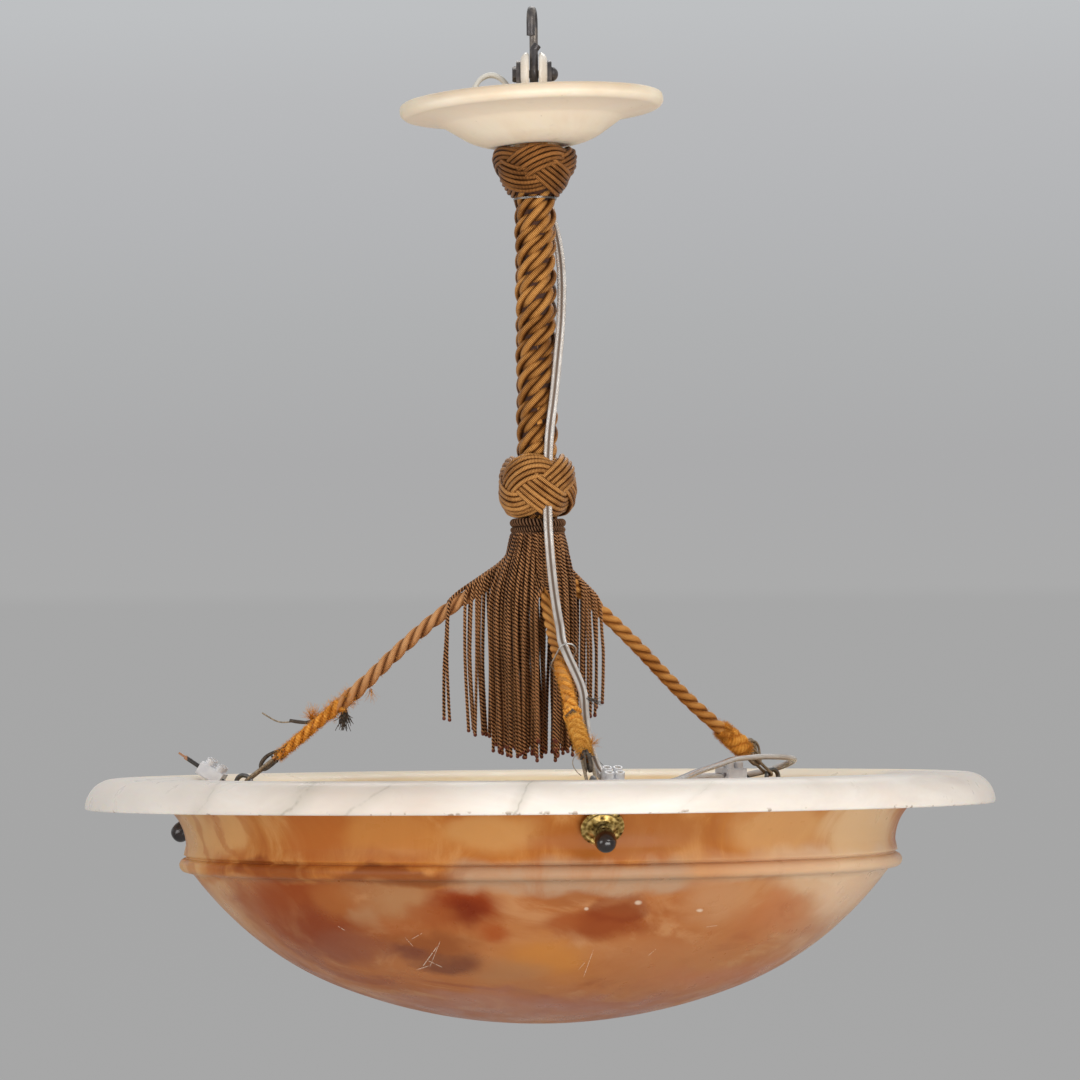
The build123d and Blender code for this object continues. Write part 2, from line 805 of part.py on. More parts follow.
def cord_wire():
    """Wire end of a cord: a narrow loop through the stud's eye."""
    half = (stud_ring_bar + wire_diameter) / 2 + 0.2
    top = cord_end_reach
    turn_at = ring_reach - stud_ring_radius
    down = Line((0, half, top), (0, half, turn_at))
    around = ThreePointArc((0, half, turn_at), (0, 0, turn_at + half), (0, -half, turn_at))
    back = Line((0, -half, turn_at), (0, -half, top))
    return pipe(Wire(down.edges() + around.edges() + back.edges()), wire_diameter)


# ---- lamps -----------------------------------------------------------------------------------------------
def lamp_bracket():
    """Bent strip: an ear on the stud, a slanted web and an upright leg for the lampholder."""
    top = stud_point(bracket_face)
    knee = (top[0] - bracket_slant * math.sin(slope), top[1] - bracket_slant * math.cos(slope))
    foot = (knee[0], knee[1] - bracket_leg)
    ear_top = (top[0] + bracket_width / 2 * math.sin(slope), top[1] + bracket_width / 2 * math.cos(slope))
    centre = FilletPolyline(ear_top, knee, foot, radius=bracket_bend)
    strip = offset(centre, bracket_thickness, side=Side.RIGHT)
    strip = extrude(Plane.XZ * make_face(strip.edges()), bracket_width / 2, both=True)
    stud_hole = stud_frame * Cylinder(stud_diameter / 2 + hole_play, 6 * wall)
    nipple_hole = Pos(knee[0], 0, lamp_height) * Rot(0, 90, 0) * Cylinder(nipple_diameter / 2 + hole_play, 20)
    return strip - stud_hole - nipple_hole


def lamp_frame():
    """Lampholder axis: Z runs from the bracket towards the middle of the bowl."""
    return Pos(holder_face, 0, lamp_height) * Rot(0, -90, 0)


def lampholder(entry_reach, entry_side):
    """Nipple, neck and skirt in one, bored for the bulb's cap, with a raised wire entry."""
    skirt_start = holder_neck_length
    end = skirt_start + holder_length
    body = turned(
        Polyline(
            (0, -nipple_length),
            (nipple_diameter / 2, -nipple_length),
            (nipple_diameter / 2, 0),
            (holder_neck_radius, 0),
            (holder_neck_radius, skirt_start - 1.5),
            (holder_radius, skirt_start + 1.5),
            (holder_radius, end - 1),
            (holder_radius - 1, end),
            (holder_bore, end),
            (holder_bore, end - cap_length - turn_play),
            (0, end - cap_length - turn_play),
            (0, -nipple_length),
        )
    )
    entry = standing(entry_radius, holder_radius + entry_height)
    entry = Pos(0, entry_side, entry_reach) * Rot(0, 90, 0) * entry
    core = Cylinder(holder_bore + 1.2, 4 * holder_length)
    return body + (entry - core)


def bulb_cap():
    """Screw cap with its contact; Z as the lampholder's, the glass starts at the end."""
    end = holder_neck_length + holder_length
    start = end - cap_length
    return turned(
        Polyline(
            (0, start),
            (cap_contact_radius, start),
            (cap_contact_radius, start + 1.2),
            (cap_radius, start + 4),
            (cap_radius, end),
            (0, end),
            (0, start),
        )
    )


def bulb():
    """Round glass bulb."""
    start = holder_neck_length + holder_length
    centre = start + bulb_length - bulb_radius
    angle = math.radians(52)
    joint = (bulb_radius * math.sin(angle), centre - bulb_radius * math.cos(angle))
    return turned(
        Polyline((0, start), (cap_radius, start), (bulb_neck_radius, start + 4), joint),
        ThreePointArc(joint, (bulb_radius, centre), (0, centre + bulb_radius)),
        Line((0, centre + bulb_radius), (0, start)),
    )


def holder_nut():
    """Nut on the nipple behind the bracket."""
    nut = hex_nut(holder_nut_flats, holder_nut_height, nipple_diameter / 2 + seat_play)
    return Pos(0, 0, -bracket_thickness - holder_nut_height - seat_play) * nut


# ---- terminal blocks and wiring ------------------------------------------------------------------------
def terminal_block():
    """Two-pole screw block; wires enter along X, screws stand in four collars on top."""
    length, width, height = block_size
    body = fillet(Box(length, width, height).edges().filter_by(Axis.X), 1.2)
    for y in (-block_pole_pitch / 2, block_pole_pitch / 2):
        for x in (-block_screw_pitch / 2, block_screw_pitch / 2):
            body += Pos(x, y, 0) * standing(block_collar_radius, height / 2 + block_collar_height)
    for y in (-block_pole_pitch / 2, block_pole_pitch / 2):
        body -= Pos(0, y, 0) * Rot(0, 90, 0) * Cylinder(block_wire_radius, 2 * length)
        for x in (-block_screw_pitch / 2, block_screw_pitch / 2):
            body -= Pos(x, y, block_wire_radius) * standing(block_screw_radius + hole_play, height)
    return body


def block_screws():
    """The four clamp screws of a block."""
    screws = []
    length = block_size[2] / 2 + block_collar_height - block_wire_radius - 1.0
    for y in (-block_pole_pitch / 2, block_pole_pitch / 2):
        for x in (-block_screw_pitch / 2, block_screw_pitch / 2):
            screw = standing(block_screw_radius, length)
            screw -= Pos(0, 0, length) * Box(4, 0.5, 1.2)
            screws.append(Pos(x, y, block_wire_radius + hole_play) * screw)
    return screws


block_frames = {
    "front": side_frame("front") * Pos(seat_radius - 30.1, 10.8, rim_top - 1.9) * Rot(0, 20, 0),
    "right": side_frame("right") * Pos(seat_radius - 51.6, 0, rim_top - 1.9),
    "left": Rot(0, 0, 257.0 - 90) * Pos(seat_radius - 9.6, 0, rim_top + 1.5) * Rot(0, -33, 0),
}


def block_end(side, end, shift):
    """Point on a block's inner (-1) or outer (+1) face and the way out of it."""
    frame = block_frames[side]
    face = (frame * Pos(end * block_size[0] / 2, shift, 0)).position
    ahead = (frame * Pos(end * (block_size[0] / 2 + 1), shift, 0)).position
    return face, ahead - face


def from_block(side, end, shift, run, points):
    """Route that leaves a block squarely and goes on through the given points."""
    face, way = block_end(side, end, shift)
    return [tuple(face), tuple(face + way * run)] + list(points)


def holder_entry(side, reach, shift):
    """Top of a lampholder's wire entry."""
    top = side_frame(side) * lamp_frame() * Pos(holder_radius + entry_height, shift, reach)
    return top.position


def local(side, *points):
    """Points given as (radius, sideways, height) in a side's frame, as plain tuples."""
    return [tuple((side_frame(side) * Pos(*point)).position) for point in points]


entries = {"front": (24.0, 6.0), "right": (9.5, 2.5), "left": (9.5, 2.5)}

lead_starts = {"right": (1, 2.5), "front": (-1, 2.5), "left": (-1, 0)}
lead_points = {
    "right": [(144.4, 2.5, -386.0)],
    "front": [(131.5, 13.0, -379.5), (127.5, 10.0, -384.0), (129.9, 6.0, -388.6)],
    "left": [(154.5, 9.5, -384.5), (148.5, 5.8, -386.2), (144.4, 2.5, -389.5)],
}


def lamp_lead(side):
    """Single core from a block to a lampholder's wire entry."""
    end, shift = lead_starts[side]
    entry = holder_entry(side, *entries[side])
    route = from_block(side, end, shift, 6.0, local(side, *lead_points[side])) + [tuple(entry)]
    return cord_tube(f"lamp_lead_{side}", route, lead_diameter)


link_points = [
    (39.3, -159.6, -385.2),
    (46.0, -160.0, -384.4),
    (54.0, -156.2, -382.6),
    (60.5, -147.0, -381.0),
    (65.0, -132.0, -380.2),
    (67.5, -114.0, -379.6),
    (70.0, -92.0, -379.2),
    (73.5, -62.0, -378.4),
    (79.0, -25.0, -377.3),
    (86.0, 12.0, -376.0),
    (93.0, 41.0, -374.4),
    (101.5, 64.0, -371.8),
    (112.5, 77.5, -369.0),
    (124.5, 88.0, -368.2),
    (132.0, 100.5, -370.4),
    (129.0, 113.0, -374.6),
    (117.5, 119.0, -379.0),
    (103.0, 119.5, -382.5),
    (87.0, 113.5, -385.0),
    (72.0, 102.0, -386.0),
    (62.0, 86.5, -385.8),
    (66.5, 71.5, -384.2),
]

supply_points = [(-24.5, 26.0, -52.2), (-30.0, 23.8, -52.5), (-33.0, 18.5, -52.3), (-33.0, 12.5, -50.5)]
supply_tail = [
    (-11.3, 14.6, -49.0),
    (-11.2, 12.0, -54.3),
    (-11.1, 8.4, -58.4),
    (-11.0, 6.2, -62.6),
    (-11.0, 6.2, -66.4),
]
coil_centre = Vector(-21.5, 9.0, -43.0)
connector_frame = Pos(-12.0, 26.0, -52.2)


def supply_lead():
    """White lead from the dish's connector through one and a half standing turns to the bore."""
    a = supply_turn_radius
    step = supply_turn_pitch / 2
    left, top = Vector(-a, 0, 0), Vector(0, 0, a)
    start = coil_centre + left
    face = (connector_frame * Pos(-block_size[0] / 2, 0, 0)).position
    into = [tuple(face)] + supply_points + [tuple(start - Vector(0, 0, 5.5)), tuple(start)]
    arcs = []
    side, up = 1, 1
    for _ in range(3):
        end = coil_centre + Vector(side * a, start.Y - coil_centre.Y + step, 0)
        middle = (start + end) / 2 + top * up
        arcs.append(ThreePointArc(start, middle, end))
        start, side, up = end, -side, -up
    out = [tuple(start)] + supply_tail
    pieces = [cord_route(into)] + arcs + [cord_route(out)]
    route = Wire([edge for piece in pieces for edge in piece.edges()])
    print(f"supply_lead: length {route.length:.1f}, turn {2 * a:.1f} across")
    return pipe(route, supply_diameter)


def flex_tie():
    """Wire loop that ties the flex to the front cord."""
    reach = 66.0
    centre = Vector(reach, 0, cord_height("front", reach))
    ahead = Vector(reach + 6, 0, cord_height("front", reach + 6))
    along = (ahead - centre).normalized()
    flex = side_frame("front").inverse() * Pos(12.9, -63.2, -315.6)
    way = flex.position - centre
    way = (way - along * way.dot(along))
    bend = cord_diameter / 2 + 0.35 + tie_wire / 2
    half = Vector(0, way.length, 0)
    route = Wire(
        Line((-bend, 0, 0), (-bend, half.Y, 0)).edges()
        + ThreePointArc((-bend, half.Y, 0), (0, half.Y + bend, 0), (bend, half.Y, 0)).edges()
        + Line((bend, half.Y, 0), (bend, 0, 0)).edges()
        + ThreePointArc((bend, 0, 0), (0, -bend, 0), (-bend, 0, 0)).edges()
    )
    frame = Plane(origin=centre, x_dir=way.cross(along), z_dir=along).location
    return side_frame("front") * frame * pipe(route, tie_wire)


def spare_wire():
    """Cut core left in the left block, its copper end bare."""
    face, way = block_end("left", 1, block_pole_pitch / 2)
    stub = standing(spare_wire_diameter / 2, spare_wire_length)
    core = standing(spare_wire_diameter / 4, spare_wire_bare)
    return Plane(origin=face, z_dir=way).location * (stub + Pos(0, 0, spare_wire_length) * core)


# ---- write one file for each piece ---------------------------------------------------------------------
def save(name, *shapes):
    """Write a node; several shapes stay separate solids."""
    shape = Compound(children=list(shapes)) if len(shapes) > 1 else shapes[0]
    export_step(shape, f"parts/{name}.step")


os.makedirs("parts", exist_ok=True)

save("ceiling_hook", ceiling_hook())
save("insulator_disc_right", bolt_frame * Pos(0, 0, disc_inner_face) * insulator_disc())
save("insulator_disc_left", bolt_frame * Rot(180, 0, 0) * Pos(0, 0, disc_inner_face) * insulator_disc())
save("shackle", shackle())
save("shackle_bolt", shackle_bolt())
save("shackle_nut", shackle_nut())
save("ferrule_screw", ferrule_screw())
save("cord_ferrule", cord_ferrule())
save("rope_sheath", rope_sheath())
save("upper_knot", upper_knot())
save("sheath_binding", sheath_binding())
save("lower_knot", lower_knot())
save("tassel_collar", tassel_collar())
save("tassel_skirt", tassel_skirt())
save("canopy", canopy())
save("bowl", bowl())

for side in azimuths:
    place = side_frame(side)
    on_stud = place * stud_frame
    on_lamp = place * lamp_frame()
    cord = cord_tube(f"suspension_cord_{side}", cord_points(side), cord_diameter)
    save(f"suspension_cord_{side}", place * cord)
    save(f"cord_wire_{side}", on_stud * cord_wire())
    save(f"eye_stud_{side}", on_stud * eye_stud())
    save(f"rosette_{side}", on_stud * rosette())
    save(f"ball_knob_{side}", on_stud * ball_knob())
    save(f"lamp_bracket_{side}", place * lamp_bracket())
    save(f"lampholder_{side}", on_lamp * lampholder(*entries[side]))
    save(f"bulb_cap_{side}", on_lamp * bulb_cap())
    save(f"bulb_{side}", on_lamp * bulb())
    save(f"terminal_block_{side}", block_frames[side] * terminal_block())
    save(f"lamp_lead_{side}", lamp_lead(side))

save("stud_washers", *[side_frame(side) * stud_frame * stud_washer() for side in azimuths])
save("stud_nuts", *[side_frame(side) * stud_frame * stud_nut() for side in azimuths])
save("holder_nuts", *[side_frame(side) * lamp_frame() * holder_nut() for side in azimuths])
save("terminal_screws", *[block_frames[side] * screw for side in azimuths for screw in block_screws()])

save("canopy_connector", connector_frame * terminal_block())
save("connector_screws", *[connector_frame * screw for screw in block_screws()])
save("supply_lead", supply_lead())

flex_end = from_block("front", -1, -block_pole_pitch / 2, 8.5, [])
save("main_flex", cord_tube("main_flex", flex_points + flex_end[::-1], flex_diameter))
save("flex_tie", flex_tie())
link_start = from_block("front", 1, 0, 4.5, link_points)
link_end = from_block("right", -1, 0, 10.0, [])
save("link_flex", cord_tube("link_flex", link_start + link_end[::-1], flex_diameter))
save("spare_wire", spare_wire())
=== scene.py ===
import bpy
import math
import random
import numpy as np
from mathutils import Matrix, Vector


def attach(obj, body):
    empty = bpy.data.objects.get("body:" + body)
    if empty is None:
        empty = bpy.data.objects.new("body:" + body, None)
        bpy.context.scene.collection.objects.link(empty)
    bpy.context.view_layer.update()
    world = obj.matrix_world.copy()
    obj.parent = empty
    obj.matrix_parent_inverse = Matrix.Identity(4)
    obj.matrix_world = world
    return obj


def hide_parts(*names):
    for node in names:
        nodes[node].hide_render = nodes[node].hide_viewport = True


# Alabaster bowl pendant, dressed.  Sizes are written in millimetres and turned into metres once.
# +Z is up, the viewer stands at -Y, and the origin is the seat of the iron hook.
MM = 0.001
TURN = 2 * math.pi

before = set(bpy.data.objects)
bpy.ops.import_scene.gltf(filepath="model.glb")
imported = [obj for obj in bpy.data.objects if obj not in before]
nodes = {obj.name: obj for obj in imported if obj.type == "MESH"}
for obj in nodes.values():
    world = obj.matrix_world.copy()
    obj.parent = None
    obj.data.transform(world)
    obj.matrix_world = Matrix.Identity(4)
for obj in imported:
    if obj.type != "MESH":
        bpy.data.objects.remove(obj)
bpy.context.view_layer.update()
scene = bpy.context.scene


def add(name, data):
    """Put a new object into the scene."""
    thing = bpy.data.objects.new(name, data)
    scene.collection.objects.link(thing)
    return thing


# ---- camera ----
CAMERA_PLACE = (1.0, -2400.0, -346.3)
CAMERA_PITCH, CAMERA_ROLL = math.radians(2.0), math.radians(0.5)
LENS, SENSOR_WIDTH = 161.0, 36.0


def aim_camera():
    """Long lens a little below the middle of the lamp, pitched up and rolled by half a degree."""
    data = bpy.data.cameras.new("camera")
    data.lens, data.sensor_width = LENS, SENSOR_WIDTH
    forward = Vector((0, math.cos(CAMERA_PITCH), math.sin(CAMERA_PITCH)))
    up = Vector((0, -math.sin(CAMERA_PITCH), math.cos(CAMERA_PITCH)))
    turn = Matrix.Rotation(CAMERA_ROLL, 3, forward)
    axes = Matrix((turn @ Vector((1, 0, 0)), turn @ up, -forward)).transposed()
    scene.camera = add("camera", data)
    scene.camera.matrix_world = Matrix.Translation(Vector(CAMERA_PLACE) * MM) @ axes.to_4x4()


aim_camera()

# ---- places ----
AZIMUTH = {"front": 9.0, "right": 130.0, "left": 253.0}
STUD_SLOPE = math.radians(36.0)
STUD_RADIUS, STUD_HEIGHT = 179.6, -399.2
CORD_END = -48.2


def turned(azimuth, r, t, z):
    """Point at a radius, a sideways shift and a height, turned to an azimuth, in millimetres."""
    sin, cos = math.sin(azimuth), math.cos(azimuth)
    return r * sin + t * cos, t * sin - r * cos, z


def place(side, r, t, z):
    """The same at one suspension point, in metres."""
    return Vector(turned(math.radians(AZIMUTH[side]), r, t, z)) * MM


def stud(side, reach, t=0.0, lift=0.0):
    """Point on or beside a stud's axis, reach millimetres outward from the stone."""
    sin, cos = math.sin(STUD_SLOPE), math.cos(STUD_SLOPE)
    return place(side, STUD_RADIUS + reach * cos + lift * sin, t, STUD_HEIGHT - reach * sin + lift * cos)


def metres(points):
    return [Vector(point) * MM for point in points]


# radius and height of each cord between the tassel and its stud
CORD_ROUTES = {
    "left": [(8, -268), (15.5, -277), (32, -286.5), (54, -300.5), (76, -318.5), (96, -337), (114, -350)],
    "right": [(8, -268.5), (15, -278.5), (32, -291), (62, -312.5), (97, -341.5)],
    "front": [(7.6, -269), (13, -281), (24, -296), (41, -310.5), (62, -322.5), (88, -338), (103, -352)],
}


def cord_points(side):
    """Control points of a cord: down inside the rope, over its route and on to the stud's eye."""
    hidden = [(4.25, -53.1), (4.25, -257.0)]
    points = [place(side, r, 0, z) for r, z in hidden + CORD_ROUTES[side]]
    return points + [stud(side, CORD_END - 12), stud(side, CORD_END)]


FLEX_POINTS = metres([
    (6.95, 12.0, -82.0), (6.95, 12.0, -97.0), (10.9, 7.9, -110.0), (13.2, 1.8, -129.0),
    (12.7, -4.1, -152.0), (10.7, -8.1, -172.0), (8.6, -10.4, -192.0), (6.0, -12.2, -210.0),
    (5.2, -11.4, -226.0), (5.2, -12.4, -238.0), (4.8, -16.6, -250.0), (5.6, -19.6, -266.0),
    (6.8, -24.8, -281.0), (8.3, -33.5, -294.0), (9.9, -45.0, -304.5), (11.8, -60.0, -313.5),
    (15.6, -69.5, -319.5), (18.9, -77.5, -328.0), (21.2, -86.5, -337.5), (22.4, -96.5, -349.5),
    (24.7, -108.5, -359.0), (27.4, -121.5, -368.0),
]) + [place("front", 135.4, 8.3, -375.9), place("front", 143.39, 8.3, -378.78)]
LINK_POINTS = [
    place("front", 155.61, 10.8, -383.22), place("front", 159.84, 10.8, -384.76),
] + metres([
    (39.3, -159.6, -385.2), (46.0, -160.0, -384.4), (54.0, -156.2, -382.6), (60.5, -147.0, -381.0),
    (65.0, -132.0, -380.2), (67.5, -114.0, -379.6), (70.0, -92.0, -379.2), (73.5, -62.0, -378.4),
    (79.0, -25.0, -377.3), (86.0, 12.0, -376.0), (93.0, 41.0, -374.4), (101.5, 64.0, -371.8),
    (112.5, 77.5, -369.0), (124.5, 88.0, -368.2), (132.0, 100.5, -370.4), (129.0, 113.0, -374.6),
    (117.5, 119.0, -379.0), (103.0, 119.5, -382.5), (87.0, 113.5, -385.0), (72.0, 102.0, -386.0),
    (62.0, 86.5, -385.8), (66.5, 71.5, -384.2),
]) + [place("right", 111.5, 0, -381.0), place("right", 121.5, 0, -381.0)]

SUPPLY_POINTS = metres([
    (-18.5, 26.0, -52.2), (-24.5, 26.0, -52.2), (-30.0, 23.8, -52.5), (-33.0, 18.5, -52.3),
    (-33.0, 12.5, -50.5), (-31.7, 9.0, -48.0),
])
COIL_CENTRE, COIL_REACH = (-21.5, 9.0, -43.0), 10.2 / 0.925


def coil_points():
    """Control points of the standing turns of the white lead, each further back than the last."""
    points = []
    for step in range(1, 12):
        angle = math.radians(180 - 45 * step)
        turn = (COIL_REACH * math.cos(angle), 0.5 * step, COIL_REACH * math.sin(angle))
        points.append([middle + off for middle, off in zip(COIL_CENTRE, turn)])
    return metres(points)


SUPPLY_TAIL = metres([
    (-11.3, 15.0, -43.5), (-11.3, 14.6, -49.0), (-11.2, 12.0, -54.3), (-11.1, 8.4, -58.4),
    (-11.0, 6.2, -62.6), (-11.0, 6.2, -66.4),
])

LEAD_POINTS = {
    "right": [(134.5, 2.5, -381.0), (140.5, 2.5, -381.0), (144.4, 2.5, -386.0), (144.4, 2.5, -395.3)],
    "front": [
        (143.39, 13.3, -378.78), (137.75, 13.3, -376.73), (131.5, 13.0, -379.5), (127.5, 10.0, -384.0),
        (129.9, 6.0, -388.6), (129.9, 6.0, -395.3),
    ],
    "left": [
        (164.14, 11.46, -381.14), (159.12, 11.11, -384.41), (154.5, 9.5, -384.5), (148.5, 5.8, -386.2),
        (144.4, 2.5, -389.5), (144.4, 2.5, -395.3),
    ],
}

# stretches that hang a little off the route: centre, reach and shift
FLEX_NUDGES = {
    "main_flex": (((26.5, -118.0, -366.0), 46.0, (-2.6, -3.6, -0.5)),
                  ((17.0, -72.0, -322.0), 30.0, (-2.2, 0.0, 0.0))),
    "link_flex": (((124.0, 88.0, -368.0), 48.0, (0.0, 0.0, -3.6)),),
}
SUPPLY_NUDGES = (((-21.5, 12.0, -31.0), 26.0, (0.0, 0.0, 4.2)),)


# ---- lines and meshes ----
def read_line(name, points):
    """Points of the smooth spline that has these control points."""
    data = bpy.data.curves.new(name + "_line", "CURVE")
    data.dimensions = "3D"
    data.resolution_u = 16
    spline = data.splines.new("NURBS")
    spline.points.add(len(points) - 1)
    for target, point in zip(spline.points, points):
        target.co = (point[0], point[1], point[2], 1.0)
    spline.order_u = 3
    spline.use_endpoint_u = True
    holder = bpy.data.objects.new(name + "_line", data)
    mesh = bpy.data.meshes.new_from_object(holder)
    line = np.array([tuple(v.co) for v in mesh.vertices])
    bpy.data.objects.remove(holder)
    bpy.data.meshes.remove(mesh)
    return line


def lengths(line):
    """Distance along a line at each of its points."""
    return np.concatenate(([0.0], np.cumsum(np.linalg.norm(np.diff(line, axis=0), axis=1))))


def resample(line, step):
    """The same line with points an even step apart, and the distance along it."""
    line = np.asarray(line, float)
    along = lengths(line)
    wanted = np.linspace(0, along[-1], max(3, int(round(along[-1] / step)) + 1))
    return np.stack([np.interp(wanted, along, line[:, k]) for k in range(3)], axis=1), wanted


def even(share, values):
    """Values that are spread evenly over a length, read at shares of it."""
    return np.interp(share, np.linspace(0, 1, len(values)), values)


def unit(vectors):
    return vectors / np.maximum(np.linalg.norm(vectors, axis=-1, keepdims=True), 1e-12)


def frames(line):
    """Two cross directions at each point of a line, carried along it without twist."""
    tangent = unit(np.gradient(line, axis=0))
    first = np.cross(tangent[0], (0.0, 0.0, 1.0))
    if np.linalg.norm(first) < 0.1:
        first = np.cross(tangent[0], (0.0, 1.0, 0.0))
    sides = [unit(first)]
    for after in tangent[1:]:
        side = sides[-1] - after * np.dot(sides[-1], after)
        sides.append(side / np.linalg.norm(side))
    side = np.array(sides)
    return side, np.cross(tangent, side), tangent


def across(angle, side, up):
    """Directions at an angle between two cross directions."""
    return np.cos(angle)[:, None] * side + np.sin(angle)[:, None] * up


def around(r, angle, z):
    """Points or directions at angles round the lamp's axis, counted from the front."""
    return np.stack(np.broadcast_arrays(r * np.sin(angle), -r * np.cos(angle), z), axis=-1)


def quad_mesh(name, verts, faces, uvs=None, **values):
    """Smooth mesh of four-sided faces, with its UVs and the values stored on its points."""
    mesh = bpy.data.meshes.new(name)
    mesh.vertices.add(len(verts))
    mesh.vertices.foreach_set("co", verts.ravel())
    mesh.loops.add(faces.size)
    mesh.loops.foreach_set("vertex_index", faces.ravel())
    mesh.polygons.add(len(faces))
    mesh.polygons.foreach_set("loop_start", np.arange(0, faces.size, 4))
    mesh.polygons.foreach_set("loop_total", np.full(len(faces), 4))
    if uvs is not None:
        mesh.uv_layers.new(name="UVMap").data.foreach_set("uv", uvs.ravel())
    for key, stored in values.items():
        mesh.attributes.new(key, "FLOAT", "POINT").data.foreach_set("value", np.concatenate(stored))
    mesh.update(calc_edges=True)
    mesh.validate()
    mesh.polygons.foreach_set("use_smooth", np.ones(len(mesh.polygons), bool))
    return mesh


def finish_piece(mesh, name, material, replaces=(), body="pendant"):
    """Put a mesh into the scene as a piece of a body, in place of CAD nodes where it has any."""
    piece = add(name, mesh)
    mesh.materials.append(material)
    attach(piece, body)
    if replaces:
        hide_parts(*replaces)
    return piece


# the share of its radius to which a tube closes at each end
END_SHARE = 0.02


class Batch:
    """Tubes gathered into one mesh, with the length along each tube and the share round it as UV."""

    def __init__(self):
        self.verts, self.faces, self.uvs, self.count = [], [], [], 0
        self.rise, self.tone = [], []

    def tube(self, line, radius, sides=8, closed=False, section=None, twist=0.0, outward=None, tone=0.5):
        """Add a tube; outward directions let a material find how far each point stands proud, to paint shade
        in its grooves.
        """
        line = np.asarray(line, float)
        out = np.zeros_like(line) if outward is None else outward
        size, roll = (np.broadcast_to(np.asarray(v, float), (len(line),)) for v in (radius, twist))
        if closed:
            ring = np.append(np.arange(len(line)), 0)
            line, out, size, roll = (v[ring] for v in (line, out, size, roll))
        side, up, _ = frames(line)
        if not closed:
            ends = np.concatenate(([0], np.arange(len(line)), [len(line) - 1]))
            line, out, size, roll, side, up = (v[ends] for v in (line, out, size, roll, side, up))
            size[[0, -1]] *= END_SHARE
        side, up = across(roll, side, up), across(roll, up, -side)
        if section is None:
            angle = np.linspace(0, TURN, sides, endpoint=False)
            section = np.stack([np.cos(angle), np.sin(angle)], axis=1)
        flat = np.asarray(section)
        n, sides = len(line), len(flat)
        ring = flat[None, :, 0:1] * side[:, None, :] + flat[None, :, 1:2] * up[:, None, :]
        proud = np.ones((n, sides)) if outward is None else np.einsum("ijk,ik->ij", ring, out)
        runs = lengths(line)
        i, k = np.meshgrid(np.arange(n - 1), np.arange(sides), indexing="ij")
        here, after = i * sides + k, i * sides + (k + 1) % sides
        u = np.stack([runs[i], runs[i], runs[i + 1], runs[i + 1]], -1)
        v = np.stack([k / sides, (k + 1) / sides, (k + 1) / sides, k / sides], -1)
        quads = np.stack([here, after, after + sides, here + sides], -1)
        self.faces.append(quads.reshape(-1, 4) + self.count)
        self.uvs.append(np.stack([u, v], -1).reshape(-1, 2))
        self.verts.append((line[:, None, :] + size[:, None, None] * ring).reshape(-1, 3))
        self.rise.append(proud.ravel())
        self.tone.append(np.repeat(even(np.linspace(0, 1, n), np.atleast_1d(tone)), sides))
        self.count += n * sides

    def build(self, name, material, replaces=(), slot=None, body="pendant"):
        arrays = (np.vstack(stack) for stack in (self.verts, self.faces, self.uvs))
        mesh = quad_mesh(name, *arrays, rise=self.rise, tone=self.tone)
        return finish_piece(mesh, name, material, replaces, body)


def lobed(sides, waist, power, height=1.0):
    """Section of two round lobes side by side, in units of half its width."""
    points = []
    for step in range(sides):
        x, y = math.cos(TURN * step / sides), math.sin(TURN * step / sides)
        reach = waist + (1 - waist) * abs(x) ** power
        points.append((reach * x, reach * y * height))
    return points


TWIN_FLEX = lobed(20, 0.5, 1.5, 1.02)
TWO_PLY = lobed(12, 0.48, 0.8)


def twisted(line, along, count, offset, pitch, phase):
    """Strands laid round a line, each with its outward directions; the offset may change along it."""
    side, up, _ = frames(line)
    offset = np.broadcast_to(offset, along.shape)[:, None]
    for index in range(count):
        out = across(TURN * (along / pitch + index / count) + phase, side, up)
        yield line + offset * out, out


def nudge(line, centre, reach, shift):
    """Move the part of a line round a centre by a small shift that fades out with distance."""
    far = np.linalg.norm(line - np.array(centre) * MM, axis=1) / (reach * MM)
    share = np.clip(1 - far, 0, 1)
    return line + (share * share * (3 - 2 * share))[:, None] * np.array(shift) * MM


# ---- materials ----
class Value:
    """What a node gives out; arithmetic on it adds math nodes."""

    def __init__(self, owner, socket):
        self.owner, self.socket = owner, socket

    def __add__(self, other):
        return self.owner.math("ADD", self, other)

    def __sub__(self, other):
        return self.owner.math("SUBTRACT", self, other)

    def __rsub__(self, other):
        return self.owner.math("SUBTRACT", other, self)

    def __mul__(self, other):
        return self.owner.math("MULTIPLY", self, other)

    def __abs__(self):
        return self.owner.math("ABSOLUTE", self)


